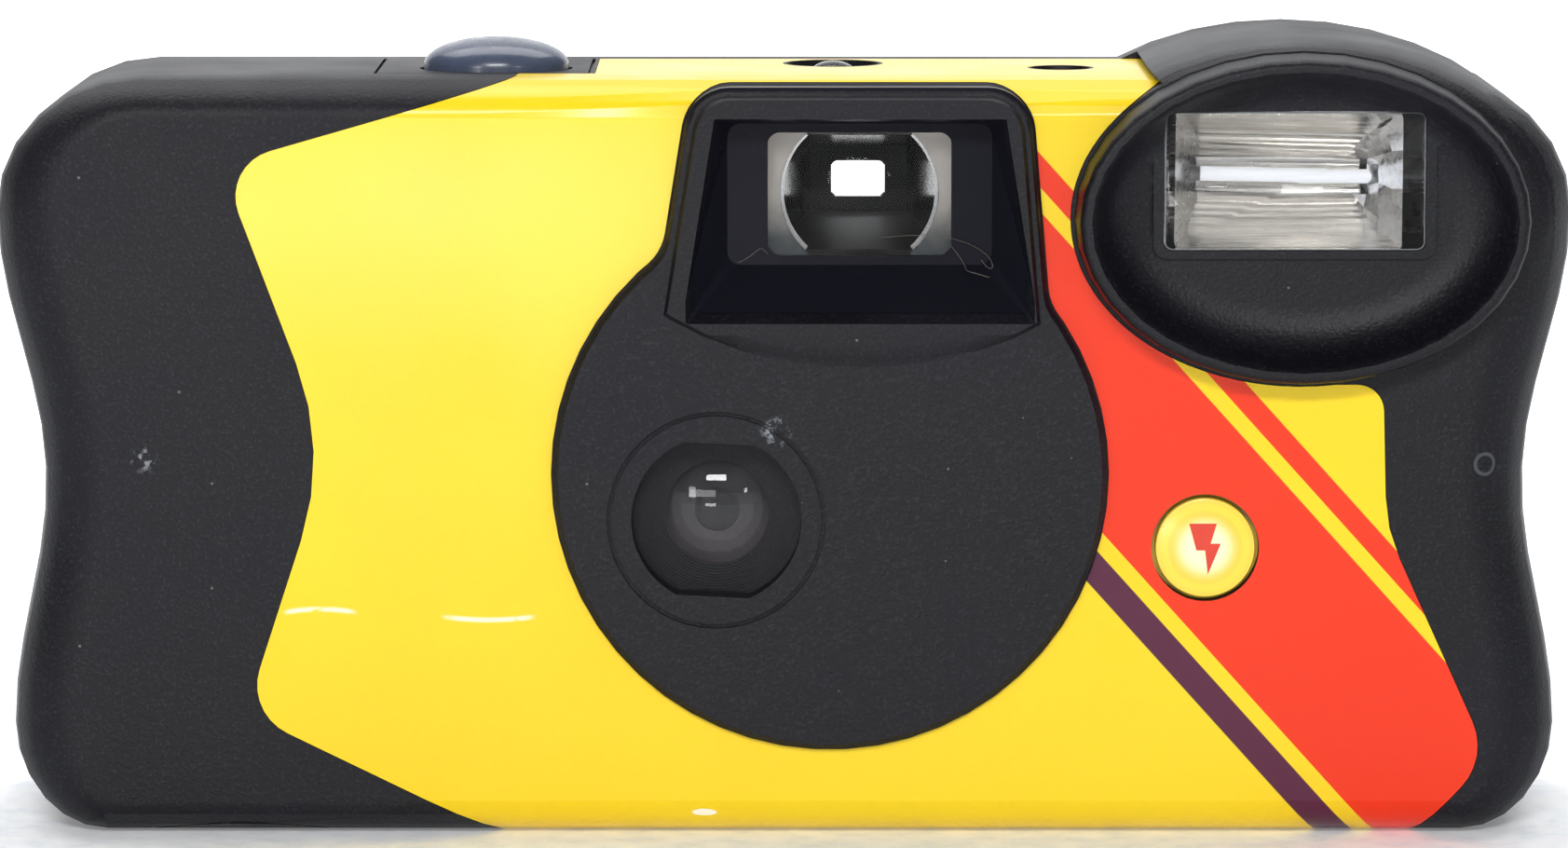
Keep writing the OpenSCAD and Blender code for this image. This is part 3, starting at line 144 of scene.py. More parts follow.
floor_size = 3.0
wall_height = 1.8
wall_round = 0.6
far_side = 1.2
deselect()
bpy.ops.mesh.primitive_plane_add(size=floor_size, location=(0, 0, 0))
floor = bpy.context.object
edit_where(floor, "EDGE", lambda c, n: c.y > far_side)
bpy.ops.mesh.extrude_region_move(TRANSFORM_OT_translate={"value": (0, 0, wall_height)})
edit_where(floor, "EDGE", lambda c, n: c.y > far_side and abs(c.z) < 10 * MM)
bpy.ops.mesh.bevel(offset=wall_round, segments=12, affect="EDGES")
done(floor, "floor")
print("floor faces:", len(floor.data.polygons))

# %% [markdown]
# The light is soft: a wide lamp above and behind, a key lamp in front and two small ones at the sides.
# The lamps in front also show in the lens, as small bright spots.
# A weak strip stands low and close in front, aimed left of the middle, and a white sky fills the shadows.

# %% Lamps and sky
sky_strength = 0.2
world = bpy.data.worlds.new("studio")
bpy.context.scene.world = world
world.use_nodes = True
sky = world.node_tree.nodes["Background"]
sky.inputs["Color"].default_value = (1, 1, 1, 1)
sky.inputs["Strength"].default_value = sky_strength


def lamp(name, place, target, size, watts):
    """Adds a soft rectangular lamp, with its place and size in metres."""
    light = bpy.data.lights.new(name, "AREA")
    light.shape = "RECTANGLE"
    light.size, light.size_y = size
    light.energy = watts
    thing = bpy.data.objects.new(name, light)
    bpy.context.collection.objects.link(thing)
    aim(thing, place, target)


middle = (0, 0, 0.03)
strip_target = (-0.026, 0, 0.03)
lamp("key", (-0.02, -0.84, 0.42), middle, (0.3, 0.09), 4.3)
lamp("left", (-0.38, -0.82, 0.19), middle, (0.1, 0.16), 0.8)
lamp("right", (0.42, -0.8, 0.22), middle, (0.05, 0.06), 0.3)
lamp("top", (0.0, 0.25, 0.8), middle, (1.2, 0.5), 6.8)
lamp("strip", (-0.041, -0.33, 0.019), strip_target, (0.06, 0.016), 0.07)

# %% [markdown]
# Every finish is a small class of nodes that feeds one Principled shader.
# Patterns read Object coordinates. The meshes hold their real places, so a noise of scale 1000 has a grain
# of a millimetre.
# Values that stay the same all over go straight to the shader's own sockets.

# %% The finish helper


class Finish:
    """A procedural material: one Principled shader and the nodes that feed it."""

    def __init__(self, name, **sockets):
        self.material = bpy.data.materials.new(name)
        self.material.use_nodes = True
        self.tree = self.material.node_tree
        self.shader = self.tree.nodes["Principled BSDF"]
        for socket, value in sockets.items():
            self.shader.inputs[socket.replace("_", " ")].default_value = value
        self.place = self.tree.nodes.new("ShaderNodeTexCoord").outputs["Object"]

    def add(self, kind, **inputs):
        """Adds a node: settings start with set_, and sockets go by name or by number as i0, i1 and so on."""
        node = self.tree.nodes.new("ShaderNode" + kind)
        for key, value in inputs.items():
            if key.startswith("set_"):
                setattr(node, key[4:], value)
        for key, value in inputs.items():
            if not key.startswith("set_"):
                socket = int(key[1:]) if key[1:].isdigit() else key.replace("_", " ")
                self.feed(node.inputs[socket], value)
        return node

    def feed(self, socket, value):
        """Links or sets one socket."""
        if isinstance(value, bpy.types.NodeSocket):
            self.tree.links.new(value, socket)
        else:
            socket.default_value = value

    def wear(self, socket, value):
        """Feeds one socket of the shader."""
        self.feed(self.shader.inputs[socket], value)

    def axis(self, letter):
        """One Object coordinate in metres."""
        return self.add("SeparateXYZ", Vector=self.place).outputs[letter]

    def noise(self, scale, detail=2.0, rough=0.5, at=None):
        """Value noise of about 1/scale metres."""
        at = at or self.place
        return self.add("TexNoise", Vector=at, Scale=scale, Detail=detail, Roughness=rough).outputs["Fac"]

    def cells(self, scale):
        """Distance to the nearest of many points that are about 1/scale metres apart."""
        return self.add("TexVoronoi", Vector=self.place, Scale=scale).outputs["Distance"]

    def vector(self, operation, a, b=(0, 0, 0)):
        """One sum on two vectors."""
        return self.add("VectorMath", i0=a, i1=b, set_operation=operation)

    def math(self, operation, a, b=0.0, c=0.0):
        """One sum on two values, or on three for a sum that takes three."""
        return self.add("Math", i0=a, i1=b, i2=c, set_operation=operation).outputs[0]

    def all_of(self, mask, *others):
        """The product of masks and strengths: it holds where all of them hold."""
        for other in others:
            mask = self.math("MULTIPLY", mask, other)
        return mask

    def step(self, value, low, high, out_low=0.0, out_high=1.0):
        """Maps low to high onto the outputs, smoothly and clamped."""
        node = self.add("MapRange", Value=value, From_Min=low, From_Max=high, To_Min=out_low,
                        To_Max=out_high, set_interpolation_type="SMOOTHSTEP")
        return node.outputs["Result"]

    def mottle(self, scale, detail=2.0, low=0.0, high=1.0):
        """Soft patches of about 1/scale metres between two values."""
        return self.step(self.noise(scale, detail), 0.3, 0.7, low, high)

    def mix(self, factor, a, b):
        """Mixes two colours."""
        return self.add("Mix", set_data_type="RGBA", i0=factor, i6=a, i7=b).outputs[2]

    def beside(self, letter, middle):
        """Distance in metres along one axis from a place in millimetres."""
        return self.math("ABSOLUTE", self.math("SUBTRACT", self.axis(letter), middle * MM))

    def away(self, point):
        """Distance in metres from a point in millimetres."""
        return self.vector("DISTANCE", self.place, Vector(point) * MM).outputs["Value"]

    def spot(self, x, y, z, radius):
        """1 near a point and 0 beyond the radius, all in millimetres."""
        return self.step(self.away((x, y, z)), 0.0, radius * MM, 1.0, 0.0)

    def bump(self, height, depth):
        """Bumps the surface by a height pattern, depth in millimetres at full height."""
        return self.add("Bump", Height=height, Distance=depth * MM, Strength=1.0).outputs["Normal"]


def srgb(r, g, b):
    """A colour given in 0 to 255, as linear light."""
    lin = [c / 12.92 if c <= 0.04045 else ((c + 0.055) / 1.055) ** 2.4 for c in (r / 255, g / 255, b / 255)]
    return (*lin, 1.0)


def dim(colour, share):
    """A darker shade of a colour."""
    return (*(c * share for c in colour[:3]), 1.0)


def paint(piece, finish):
    """Gives a piece one finish."""
    piece.data.materials.clear()
    piece.data.materials.append(finish.material)


print("middle grey in linear light:", round(srgb(128, 128, 128)[0], 3))

# %% [markdown]
# The floor is white felted paper. Behind the camera it is overexposed, as a backdrop in a bright studio is.
# So the paper glows more and more towards the wall, and close by only enough to lighten the shadow.

# %% Paper of the floor


def paper():
    """White felted paper that glows towards the wall."""
    f = Finish("paper", Specular_IOR_Level=0.1)
    felt = f.noise(420, 4.0, 0.65)
    f.wear("Base Color", f.mix(f.step(felt, 0.35, 0.65), srgb(226, 230, 236), srgb(248, 249, 250)))
    f.wear("Roughness", f.step(felt, 0.3, 0.7, 0.8, 0.95))
    f.wear("Emission Strength", f.step(f.axis("Y"), 0.03, 0.4, 0.16, 0.9))
    f.wear("Normal", f.bump(felt, 0.1))
    return f


paper_finish = paper()
paint(floor, paper_finish)
print("paper nodes:", len(paper_finish.tree.nodes))

# %% [markdown]
# The covers are black polystyrene from a spark-eroded mould: a fine sandy grain, half dull.
# Handling leaves pale dust in the grain and a few white scuffs, and rubs the grain smoother in broad patches.
# The pocket round the finder is polished in the mould, so the grain fades out there.
# A small paler ring at the right is the mark of the mould's gate. Its paleness is a painted highlight, the
# light that the rim of the gate's dimple would catch.

# %% Black moulded plastic
pocket_mid, pocket_half, pocket_low = 5.25, 13.6, 38.0
pocket_front, pocket_back = -13.5, -9.3
side_fade, front_fade = 0.2, 0.3
gate_ring_highlight = (51.9, -12.16, 28.0, 1.05)
scuffs = [(-47.4, -12.3, 28.4, 1.3), (-0.6, -13.6, 30.6, 1.5), (20.5, -12.8, 14.6, 0.9)]
scuff_pale, dust_pale = srgb(165, 170, 175), srgb(150, 146, 138)


def pocket_mask(f):
    """1 inside the finder's pocket and 0 elsewhere."""
    across = f.step(f.beside("X", pocket_mid), pocket_half * MM, (pocket_half + side_fade) * MM, 1.0, 0.0)
    above = f.math("GREATER_THAN", f.axis("Z"), pocket_low * MM)
    behind_lip = f.step(f.axis("Y"), pocket_front * MM, (pocket_front + front_fade) * MM)
    before_back = f.math("LESS_THAN", f.axis("Y"), pocket_back * MM)
    return f.all_of(across, above, behind_lip, before_back)


def moulded_black(name, grain=1.0, dust=1.0):
    """Grained black plastic with dust and scuffs."""
    f = Finish(name)
    pocket = pocket_mask(f)
    sand = f.noise(4300, 3.0, 0.6)
    pits = f.cells(2600)
    rubbed = f.noise(60, 3.0)
    tone = f.mix(f.step(rubbed, 0.35, 0.7), srgb(10, 10, 16), srgb(17, 17, 25))
    speck = f.math("LESS_THAN", f.cells(420), 0.045)
    pick = f.math("GREATER_THAN", f.noise(180, 1.0), 0.57)
    tone = f.mix(f.all_of(speck, pick, 0.4 * dust), tone, dust_pale)
    scratchy = f.step(f.noise(1500, 4.0, 0.7), 0.5, 0.62)
    for scuff in scuffs:
        tone = f.mix(f.all_of(f.spot(*scuff), scratchy, 0.85), tone, scuff_pale)
    tone = f.mix(f.all_of(f.step(sand, 0.52, 0.7), 0.3), tone, srgb(58, 60, 68))
    tone = f.mix(pocket, tone, srgb(23, 23, 31))
    # The gate ring is a painted highlight: a paler ring where the rim of the dimple would catch the light.
    disc = f.spot(*gate_ring_highlight)
    ring = f.math("SUBTRACT", f.step(disc, 0.02, 0.12), f.step(disc, 0.25, 0.45))
    f.wear("Base Color", f.mix(f.all_of(ring, 0.8), tone, srgb(74, 76, 82)))
    dull = f.step(rubbed, 0.3, 0.75, 0.42, 0.56)
    f.wear("Roughness", f.math("SUBTRACT", dull, f.all_of(pocket, 0.18)))
    f.wear("Specular IOR Level", f.step(pocket, 0.0, 1.0, 0.25, 0.06))
    height = f.math("ADD", f.all_of(sand, 0.8), f.all_of(pits, 0.3))
    f.wear("Normal", f.bump(f.all_of(height, f.step(pocket, 0.0, 1.0, 1.0, 0.05)), 0.055 * grain))
    return f


black_grain = moulded_black("black_grain")
print("black plastic nodes:", len(black_grain.tree.nodes))

# %% [markdown]
# The covers, the film door and the winding wheel keep the frame's own shapes, as merged and smoothed copies.
# On the real front the foot of the hood flows into the lens panel, and no edge is quite sharp.
# So the copy's lowest rows of the hood are squeezed up to its mouth, and its sharp edges get a fine bevel.
# The bevel stays above the film door, which needs its clearance.

# %% Copies of frame pieces
hood_front, hood_foot, hood_half = -14.2, 35.0, 10.0
mouth_low = 38.82
door_top = 6.0
hood_squeeze = [(hood_front, 0.5), (hood_front + 0.4, 0.85)]
soft_edge, soft_angle = 0.2, math.radians(40)
merge_gap, flat_angle = 0.003, math.radians(0.6)


def soften_front(piece):
    """Eases the foot of the hood into the lens panel and rounds the sharp edges above the film door."""
    for level, squeeze in hood_squeeze:
        edit_where(piece, "VERT", lambda c, n: abs(c.y / MM - level) < 0.02
                   and abs(c.x / MM - pocket_mid) < hood_half and hood_foot < c.z / MM < mouth_low - 0.1)
        bpy.ops.transform.resize(value=(1, 1, squeeze), center_override=(0, 0, mouth_low * MM))
    bpy.ops.mesh.select_mode(type="EDGE")
    bpy.ops.mesh.select_all(action="DESELECT")
    bpy.ops.mesh.edges_select_sharp(sharpness=soft_angle)
    bpy.ops.object.mode_set(mode="OBJECT")
    points = piece.data.vertices
    for edge in piece.data.edges:
        edge.select = edge.select and all(points[i].co.z > door_top * MM for i in edge.vertices)
    bpy.ops.object.mode_set(mode="EDIT")
    bpy.ops.transform.edge_bevelweight(value=1.0)
    bpy.ops.object.mode_set(mode="OBJECT")
    soften = piece.modifiers.new("soften", "BEVEL")
    soften.width = soft_edge * MM
    soften.segments = 2
    soften.limit_method = "WEIGHT"
    bpy.ops.object.modifier_apply(modifier="soften")


def copy_of(node, name, finish, shape=None):
    """A merged, smoothed copy of a frame piece that takes its place."""
    deselect()
    piece = bpy.data.objects.new(name, nodes[node].data.copy())
    bpy.context.collection.objects.link(piece)
    edit_all(piece)
    bpy.ops.mesh.remove_doubles(threshold=merge_gap * MM)
    bpy.ops.mesh.dissolve_limited(angle_limit=flat_angle)
    if shape:
        shape(piece)
    done(piece, name, 35)
    even = piece.modifiers.new("even", "WEIGHTED_NORMAL")
    even.keep_sharp = True
    bpy.ops.object.modifier_apply(modifier="even")
    paint(piece, finish)
    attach(piece, body_of_node[node])
    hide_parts(node)
    print(piece.name, "faces:", len(piece.data.polygons))


for node in ("front_cover", "rear_cover", "film_door", "thumbwheel"):
    copy_of(node, node + "_shell", black_grain, soften_front if node == "front_cover" else None)

# %% [markdown]
# The label is a printed film, die-cut round the lens panel and the flash and pressed into a shallow recess.
# Its own generic print has slanted bars of red-orange and plum on yellow.
# A slanted coordinate, x plus a share of z, makes each bar one band between two values.
# The bars start right of the lens. Handling has left white scratches, chips and a slightly wavy gloss.

# %% Label print
bar_lean = 0.9
bar_start = 17.0
bar_edge = 0.05
plum, red_orange = srgb(84, 26, 56), srgb(232, 50, 6)
bars = [(39.8, 42.6, plum), (44.2, 61.0, red_orange), (62.6, 64.8, red_orange)]
label_yellow = srgb(240, 204, 20)
scratches = [(-34.4, 17.2, 2.9, 0.035), (-21.9, 16.4, 3.7, -0.02)]
chips = [(-5.9, 1.9, 1.2, 0.35), (-26.4, 2.2, 1.1, 0.3)]


def scratch_mark(f, x, z, half, bow):
    """1 along a short bowed line on the label's front, with its middle and half length in millimetres."""
    across = f.math("SUBTRACT", f.axis("X"), x * MM)
    sag = f.all_of(across, across, -bow / MM)
    off_line = f.math("ABSOLUTE", f.math("SUBTRACT", f.math("SUBTRACT", f.axis("Z"), z * MM), sag))
    line = f.step(off_line, 0.03 * MM, 0.28 * MM, 1.0, 0.0)
    ends = f.step(f.math("ABSOLUTE", across), half * 0.7 * MM, half * MM, 1.0, 0.0)
    return f.all_of(line, ends)


def chip_mark(f, x, z, wide, high):
    """1 in a small ragged oval on the label's front, from its middle and half sizes in millimetres."""
    off_middle = f.vector("ADD", f.place, (-x * MM, 0.0, -z * MM)).outputs[0]
    oval = f.vector("MULTIPLY", off_middle, (1 / wide, 0.0, 1 / high)).outputs[0]
    reach = f.vector("LENGTH", oval).outputs["Value"]
    ragged = f.math("ADD", reach, f.all_of(f.noise(1400), 0.5 * MM))
    return f.step(ragged, 0.9 * MM, 1.1 * MM, 1.0, 0.0)


def printed_label():
    """Yellow label with slanted bars, scratches and a clear gloss."""
    f = Finish("label_print", Coat_Weight=0.2, Coat_Roughness=0.14, Specular_IOR_Level=0.25)
    slant = f.math("MULTIPLY_ADD", f.axis("Z"), bar_lean, f.axis("X"))
    right_side = f.math("GREATER_THAN", f.axis("X"), bar_start * MM)
    tone = f.mix(f.mottle(45), label_yellow, srgb(242, 209, 28))
    for low, high, colour in bars:
        after = f.step(slant, (low - bar_edge) * MM, (low + bar_edge) * MM)
        before = f.step(slant, (high - bar_edge) * MM, (high + bar_edge) * MM, 1.0, 0.0)
        tone = f.mix(f.all_of(after, before, right_side), tone, colour)
    broken = f.step(f.noise(900, 3.0), 0.28, 0.45)
    for scratch in scratches:
        tone = f.mix(f.all_of(scratch_mark(f, *scratch), broken, 0.85), tone, srgb(255, 250, 225))
    for chip in chips:
        tone = f.mix(chip_mark(f, *chip), tone, srgb(250, 246, 232))
    f.wear("Base Color", tone)
    f.wear("Roughness", f.mottle(120, 3.0, 0.3, 0.4))
    f.wear("Normal", f.bump(f.noise(220), 0.012))
    return f


copy_of("label", "label_film", printed_label())

# %% [markdown]
# Round pieces are made as on a lathe: a filled circle is extruded ring after ring, and each ring is resized.
# The same few lines make both buttons, the lens, its stepped seat, the flash tube and the counter window.
# A piece that faces the viewer, along -Y, is the finished stack turned by a right angle.

# %% A lathe from extrusions


def ring_stack(rings, sides=64):
    """Extrudes a circle through (half width, half depth, height) rings in millimetres, up its own Z axis."""
    deselect()
    wide, deep, high = rings[0]
    bpy.ops.mesh.primitive_circle_add(vertices=sides, radius=MM, fill_type="NGON", location=(0, 0, 0))
    piece = bpy.context.object
    edit_all(piece)
    bpy.ops.transform.resize(value=(wide, deep, 1), center_override=(0, 0, 0))
    bpy.ops.transform.translate(value=(0, 0, high * MM))
    for next_wide, next_deep, next_high in rings[1:]:
        rise = {"value": (0, 0, (next_high - high) * MM)}
        bpy.ops.mesh.extrude_region_move(TRANSFORM_OT_translate=rise)
        grow = (next_wide / wide, next_deep / deep, 1)
        bpy.ops.transform.resize(value=grow, center_override=(0, 0, next_high * MM))
        wide, deep, high = next_wide, next_deep, next_high
    bpy.ops.mesh.select_all(action="SELECT")
    bpy.ops.mesh.normals_make_consistent(inside=False)
    return piece


def lathe(profile, sides=64):
    """A ring stack with round rings, from (radius, height) pairs in millimetres."""
    return ring_stack([(r, r, height) for r, height in profile], sides)


def stand(piece, place, face="UP"):
    """Moves a stack to its place in millimetres, turned to face up, to the front or along +X."""
    bpy.ops.object.mode_set(mode="OBJECT")
    turns = {"UP": (0, 0, 0), "FRONT": (math.pi / 2, 0, 0), "SIDE": (0, math.pi / 2, 0)}
    piece.rotation_euler = turns[face]
    piece.location = Vector(place) * MM


def dress(piece, finish, body, *replaced):
    """Paints a piece, ties it to its body and lets it stand for frame pieces."""
    paint(piece, finish)
    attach(piece, body)
    if replaced:
        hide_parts(*replaced)
    print(piece.name, "faces:", len(piece.data.polygons))


def span(node):
    """Lowest and highest corner of a frame piece in millimetres."""
    return [Vector(c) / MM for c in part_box(node)]


top_z = span("label")[1].z
print("top of the label in mm:", round(top_z, 2))

# %% [markdown]
# The shutter button is a smooth oval dome in blue-grey plastic, polished by fingers.
# A stem and a wide flange hold it from inside.
# The dome's rings follow a quarter of an ellipse, so it is round at the rim and almost flat on top.

# %% Shutter button
button_low, button_high = span("shutter_button")
button_mid = (button_low + button_high) / 2
flange_half = (button_high - button_low) / 2
stem_r = 1.5
collar = 1.0
flange_low, flange_top = top_z - 2.6, top_z - 1.8
dome_base = top_z + 0.3
dome_steps, dome_turn = 12, 7.2


def polished(name, colour, rough=0.25):
    """Smooth coloured plastic with a faint mottle and fine rub marks."""
    f = Finish(name, Specular_IOR_Level=0.5, Coat_Weight=0.2, Coat_Roughness=0.12)
    f.wear("Base Color", f.mix(f.mottle(300, 3.0), dim(colour, 0.86), colour))
    f.wear("Roughness", f.mottle(900, 4.0, rough - 0.06, rough + 0.08))
    f.wear("Normal", f.bump(f.noise(700), 0.004))
    return f


oval_x, oval_y = flange_half.x - collar, flange_half.y - collar
button_rings = [(stem_r, stem_r, button_low.z), (stem_r, stem_r, flange_low)]
button_rings += [(flange_half.x, flange_half.y, flange_low), (flange_half.x, flange_half.y, flange_top)]
button_rings += [(oval_x, oval_y, flange_top)]
for step in range(dome_steps + 1):
    turn = math.radians(step * dome_turn)
    rise = dome_base + (button_high.z - dome_base) * math.sin(turn)
    button_rings.append((oval_x * math.cos(turn), oval_y * math.cos(turn), rise))
button_cap = ring_stack(button_rings, 72)
stand(button_cap, (button_mid.x, button_mid.y, 0))
done(button_cap, "shutter_button_cap", 40)
dress(button_cap, polished("button_blue_grey", srgb(72, 82, 104)), "release", "shutter_button")

# %% [markdown]
# The charging button sits flush in the label: a yellow disc with a paler middle and a flange inside.
# Its print is one distance from the centre, so the pale glow and the ring are steps along that distance.

# %% Charging button
spot_low, spot_high = span("charge_button")
spot_mid = (spot_low + spot_high) / 2
spot_flange = (spot_high.x - spot_low.x) / 2
spot_r = spot_flange - 0.8
spot_flange_t = 0.4
spot_deep = spot_high.y - spot_low.y
spot_middle_r = 0.4
spot_profile = [(spot_flange, 0), (spot_flange, spot_flange_t), (spot_r, spot_flange_t)]
spot_profile += [(spot_r, spot_deep - 0.15), (spot_r - 0.06, spot_deep - 0.04), (spot_r - 0.2, spot_deep)]
spot_profile += [(spot_middle_r, spot_deep)]
charge_cap = lathe(spot_profile, 72)
stand(charge_cap, (spot_mid.x, spot_high.y, spot_mid.z), "FRONT")
done(charge_cap, "charge_button_cap", 40)


def ringed_spot():
    """Yellow print with a paler middle and a ring, centred on the charging button."""
    f = Finish("charge_print", Coat_Weight=0.35, Coat_Roughness=0.16)
    away = f.away((spot_mid.x, spot_low.y, spot_mid.z))
    tone = f.mix(f.step(away, 1.2 * MM, 2.6 * MM, 1.0, 0.0), srgb(240, 206, 60), srgb(250, 244, 196))
    ring = f.all_of(f.step(away, 2.72 * MM, 2.8 * MM), f.step(away, 3.25 * MM, 3.35 * MM, 1.0, 0.0))
    f.wear("Base Color", f.mix(ring, tone, srgb(244, 214, 60)))
    f.wear("Roughness", f.mottle(300, 2.0, 0.3, 0.42))
    f.wear("Normal", f.bump(f.noise(220), 0.012))
    return f


dress(charge_cap, ringed_spot(), "charger", "charge_button")

# %% [markdown]
# The bolt on the button is the common flash sign, with seven corners.
# It starts as a filled circle of seven corners, and each is pulled to its place, clockwise from the top left.
# A pulled corner stands forward of the circle, so that no later pick finds it again.
# Then the sign is thickened.

# %% Bolt on the charging button
bolt_corners = [(-1.2, 1.8), (0.85, 1.8), (0.4, 0.3), (1.15, 0.3), (0.2, -2.0), (0.0, -0.2), (-0.65, -0.2)]
bolt_forward, bolt_t, bolt_sunk = 0.5, 0.06, 0.03
deselect()
bpy.ops.mesh.primitive_circle_add(vertices=len(bolt_corners), radius=MM, fill_type="NGON",
                                  location=(0, 0, 0), rotation=(math.pi / 2, 0, 0))
bolt = bpy.context.object
bpy.ops.object.transform_apply(location=True, rotation=True, scale=True)
clockwise = sorted((v.co.copy() for v in bolt.data.vertices), key=lambda c: -math.atan2(c.z, c.x))
first = max(range(len(clockwise)), key=lambda k: clockwise[k].z - 0.1 * clockwise[k].x)
for start, (x, z) in zip(clockwise[first:] + clockwise[:first], bolt_corners):
    edit_where(bolt, "VERT", lambda c, n: (c - start).length < 0.01 * MM)
    bpy.ops.transform.translate(value=Vector((x, -bolt_forward, z)) * MM - start)
bpy.ops.object.mode_set(mode="OBJECT")
edit_all(bolt)
bpy.ops.mesh.extrude_region_move(TRANSFORM_OT_translate={"value": (0, bolt_t * MM, 0)})
bpy.ops.mesh.select_all(action="SELECT")
bpy.ops.mesh.normals_make_consistent(inside=False)
bpy.ops.object.mode_set(mode="OBJECT")
bolt.location = Vector((spot_mid.x, spot_low.y + bolt_forward - bolt_sunk, spot_mid.z)) * MM
done(bolt, "charge_bolt", 20)
dress(bolt, polished("bolt_red", srgb(222, 52, 10), 0.4), "charger")

# %% [markdown]
# The finder is a small telescope turned round: a hollow-ground front plate, a dark tunnel and an eyepiece.
# A ball cut out of the back of the plate leaves the hollow, so the eyepiece looks small and far away.
# The plate is frosted beside the hollow, and the light that those corners catch is painted into their colour,
# paler towards the top.

# %% Front plate of the finder
finder_low, finder_high = span("viewfinder_lens")
finder_mid = (finder_low + finder_high) / 2
finder_rim, finder_corner = Vector((0.7, 0, 0.25)), 0.8
hollow_r, hollow_ball = 5.9, 14.7
plate_back = finder_high.y


def clear(name, tint=(1, 1, 1, 1), rough=0.0, ior=1.49, shine=0.25):
    """Clear plastic with a faint smear here and there."""
    sheen = (shine, shine, shine, 1)
    f = Finish(name, Transmission_Weight=1.0, IOR=ior, Base_Color=tint, Specular_Tint=sheen)
    f.wear("Roughness", f.step(f.noise(160), 0.66, 0.7, rough, rough + 0.03))
    return f


def frosted():
    """Frosted plastic with painted light: paler towards the top, where the light falls in."""
    f = Finish("frosted", Specular_IOR_Level=0.4)
    # The paleness towards the top is painted light, on a height that noise makes uneven.
    painted_light_level = f.math("MULTIPLY_ADD", f.noise(700, 3.0), 1.6 * MM, f.axis("Z"))
    pale = f.step(painted_light_level, (finder_mid.z - 3.5) * MM, (finder_mid.z + 1.2) * MM)
    f.wear("Base Color", f.mix(pale, srgb(70, 78, 82), srgb(214, 208, 200)))
    f.wear("Roughness", f.mottle(2400, 2.0, 0.4, 0.7))
    return f


def soft_box(low, high, corner):
    """A box between two corners in millimetres, with its edges along Y rounded."""
    deselect()
    bpy.ops.mesh.primitive_cube_add(size=1, location=(low + high) / 2 * MM)
    piece = bpy.context.object
    piece.scale = (high - low) * MM
    bpy.ops.object.transform_apply(location=True, rotation=True, scale=True)
    edit_where(piece, "EDGE", lambda c, n: abs(n.y) > 0.9)
    bpy.ops.mesh.bevel(offset=corner * MM, segments=6, affect="EDGES")
    bpy.ops.object.mode_set(mode="OBJECT")
    return piece


def cut(piece, tool):
    """Takes a tool's shape out of a piece and removes the tool."""
    deselect()
    bpy.context.view_layer.objects.active = piece
    piece.select_set(True)
    taken = piece.modifiers.new("cut", "BOOLEAN")
    taken.object = tool
    taken.solver = "EXACT"
    bpy.ops.object.modifier_apply(modifier="cut")
    bpy.data.objects.remove(tool)


def second_finish(piece, finish, test):
    """Gives the faces that pass a test another finish than the rest, and stays in edit mode."""
    piece.data.materials.append(finish.material)
    edit_where(piece, "FACE", test)
    piece.active_material_index = 1
    bpy.ops.object.material_slot_assign()


finder_plate = soft_box(finder_low + finder_rim, finder_high - finder_rim, finder_corner)
ball_y = plate_back + math.sqrt(hollow_ball ** 2 - hollow_r ** 2)
deselect()
bpy.ops.mesh.primitive_uv_sphere_add(segments=128, ring_count=96, radius=hollow_ball * MM,
                                     location=Vector((finder_mid.x, ball_y, finder_mid.z)) * MM,
                                     rotation=(math.pi / 2, 0, 0))
cut(finder_plate, bpy.context.object)
paint(finder_plate, clear("finder_clear", shine=0.2))
second_finish(finder_plate, frosted(), lambda c, n: n.y > 0.999 and abs(c.y - plate_back * MM) < 0.02 * MM)
done(finder_plate, "finder_front_plate", 20)
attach(finder_plate, "case")
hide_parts("viewfinder_lens")
print("finder plate faces:", len(finder_plate.data.polygons))

# %% [markdown]
# The eyepiece at the back is a plain clear window, so a soft box is all that it needs.

# %% Eyepiece
eye_low, eye_high = span("eyepiece_lens")
eye_rim, eye_corner = Vector((0.8, 0, 0.7)), 0.4
eye_plate = soft_box(eye_low + eye_rim, eye_high - eye_rim, eye_corner)
done(eye_plate, "eyepiece_plate", 20)
dress(eye_plate, clear("eyepiece_clear"), "case", "eyepiece_lens")

# %% [markdown]
# The taking lens sits behind a funnel of fine steps, which keep stray light off the film.
# The funnel is one ring stack that walks inwards and backwards step by step.
# Its outside, inside and back are one closed skin: the two open ends are joined by a bridge.

# %% Funnel of the lens
seat_low, seat_high = span("lens_retainer")
seat_mid = (seat_low + seat_high) / 2
seat_r = (seat_high.x - seat_low.x) / 2
seat_deep = seat_high.y - seat_low.y
glass_low, glass_high = span("taking_lens")
glass_r = (glass_high.x - glass_low.x) / 2
glass_front = seat_high.y - glass_low.y
mouth_r, lip_r = 6.2, glass_r - 0.45
bore_r, lip_back = glass_r + 0.05, glass_front + 0.03
funnel_steps = 12
funnel_deep = seat_deep - glass_front - 0.1
tiny = 0.01 * MM
seat_profile = [(seat_r, 0), (seat_r, seat_deep), (mouth_r, seat_deep)]
for step in range(1, funnel_steps + 1):
    height = seat_deep - funnel_deep * step / funnel_steps
    outer = seat_profile[-1][0]
    inner = mouth_r - (mouth_r - lip_r) * step / funnel_steps
    seat_profile += [(outer, height), (inner, height)]
seat_profile += [(lip_r, lip_back), (bore_r, lip_back), (bore_r, 0)]
lens_seat = lathe(seat_profile, 96)
edit_where(lens_seat, "FACE", lambda c, n: abs(n.z) > 0.99 and c.xy.length < tiny and abs(c.z) < tiny)
bpy.ops.mesh.delete(type="FACE")
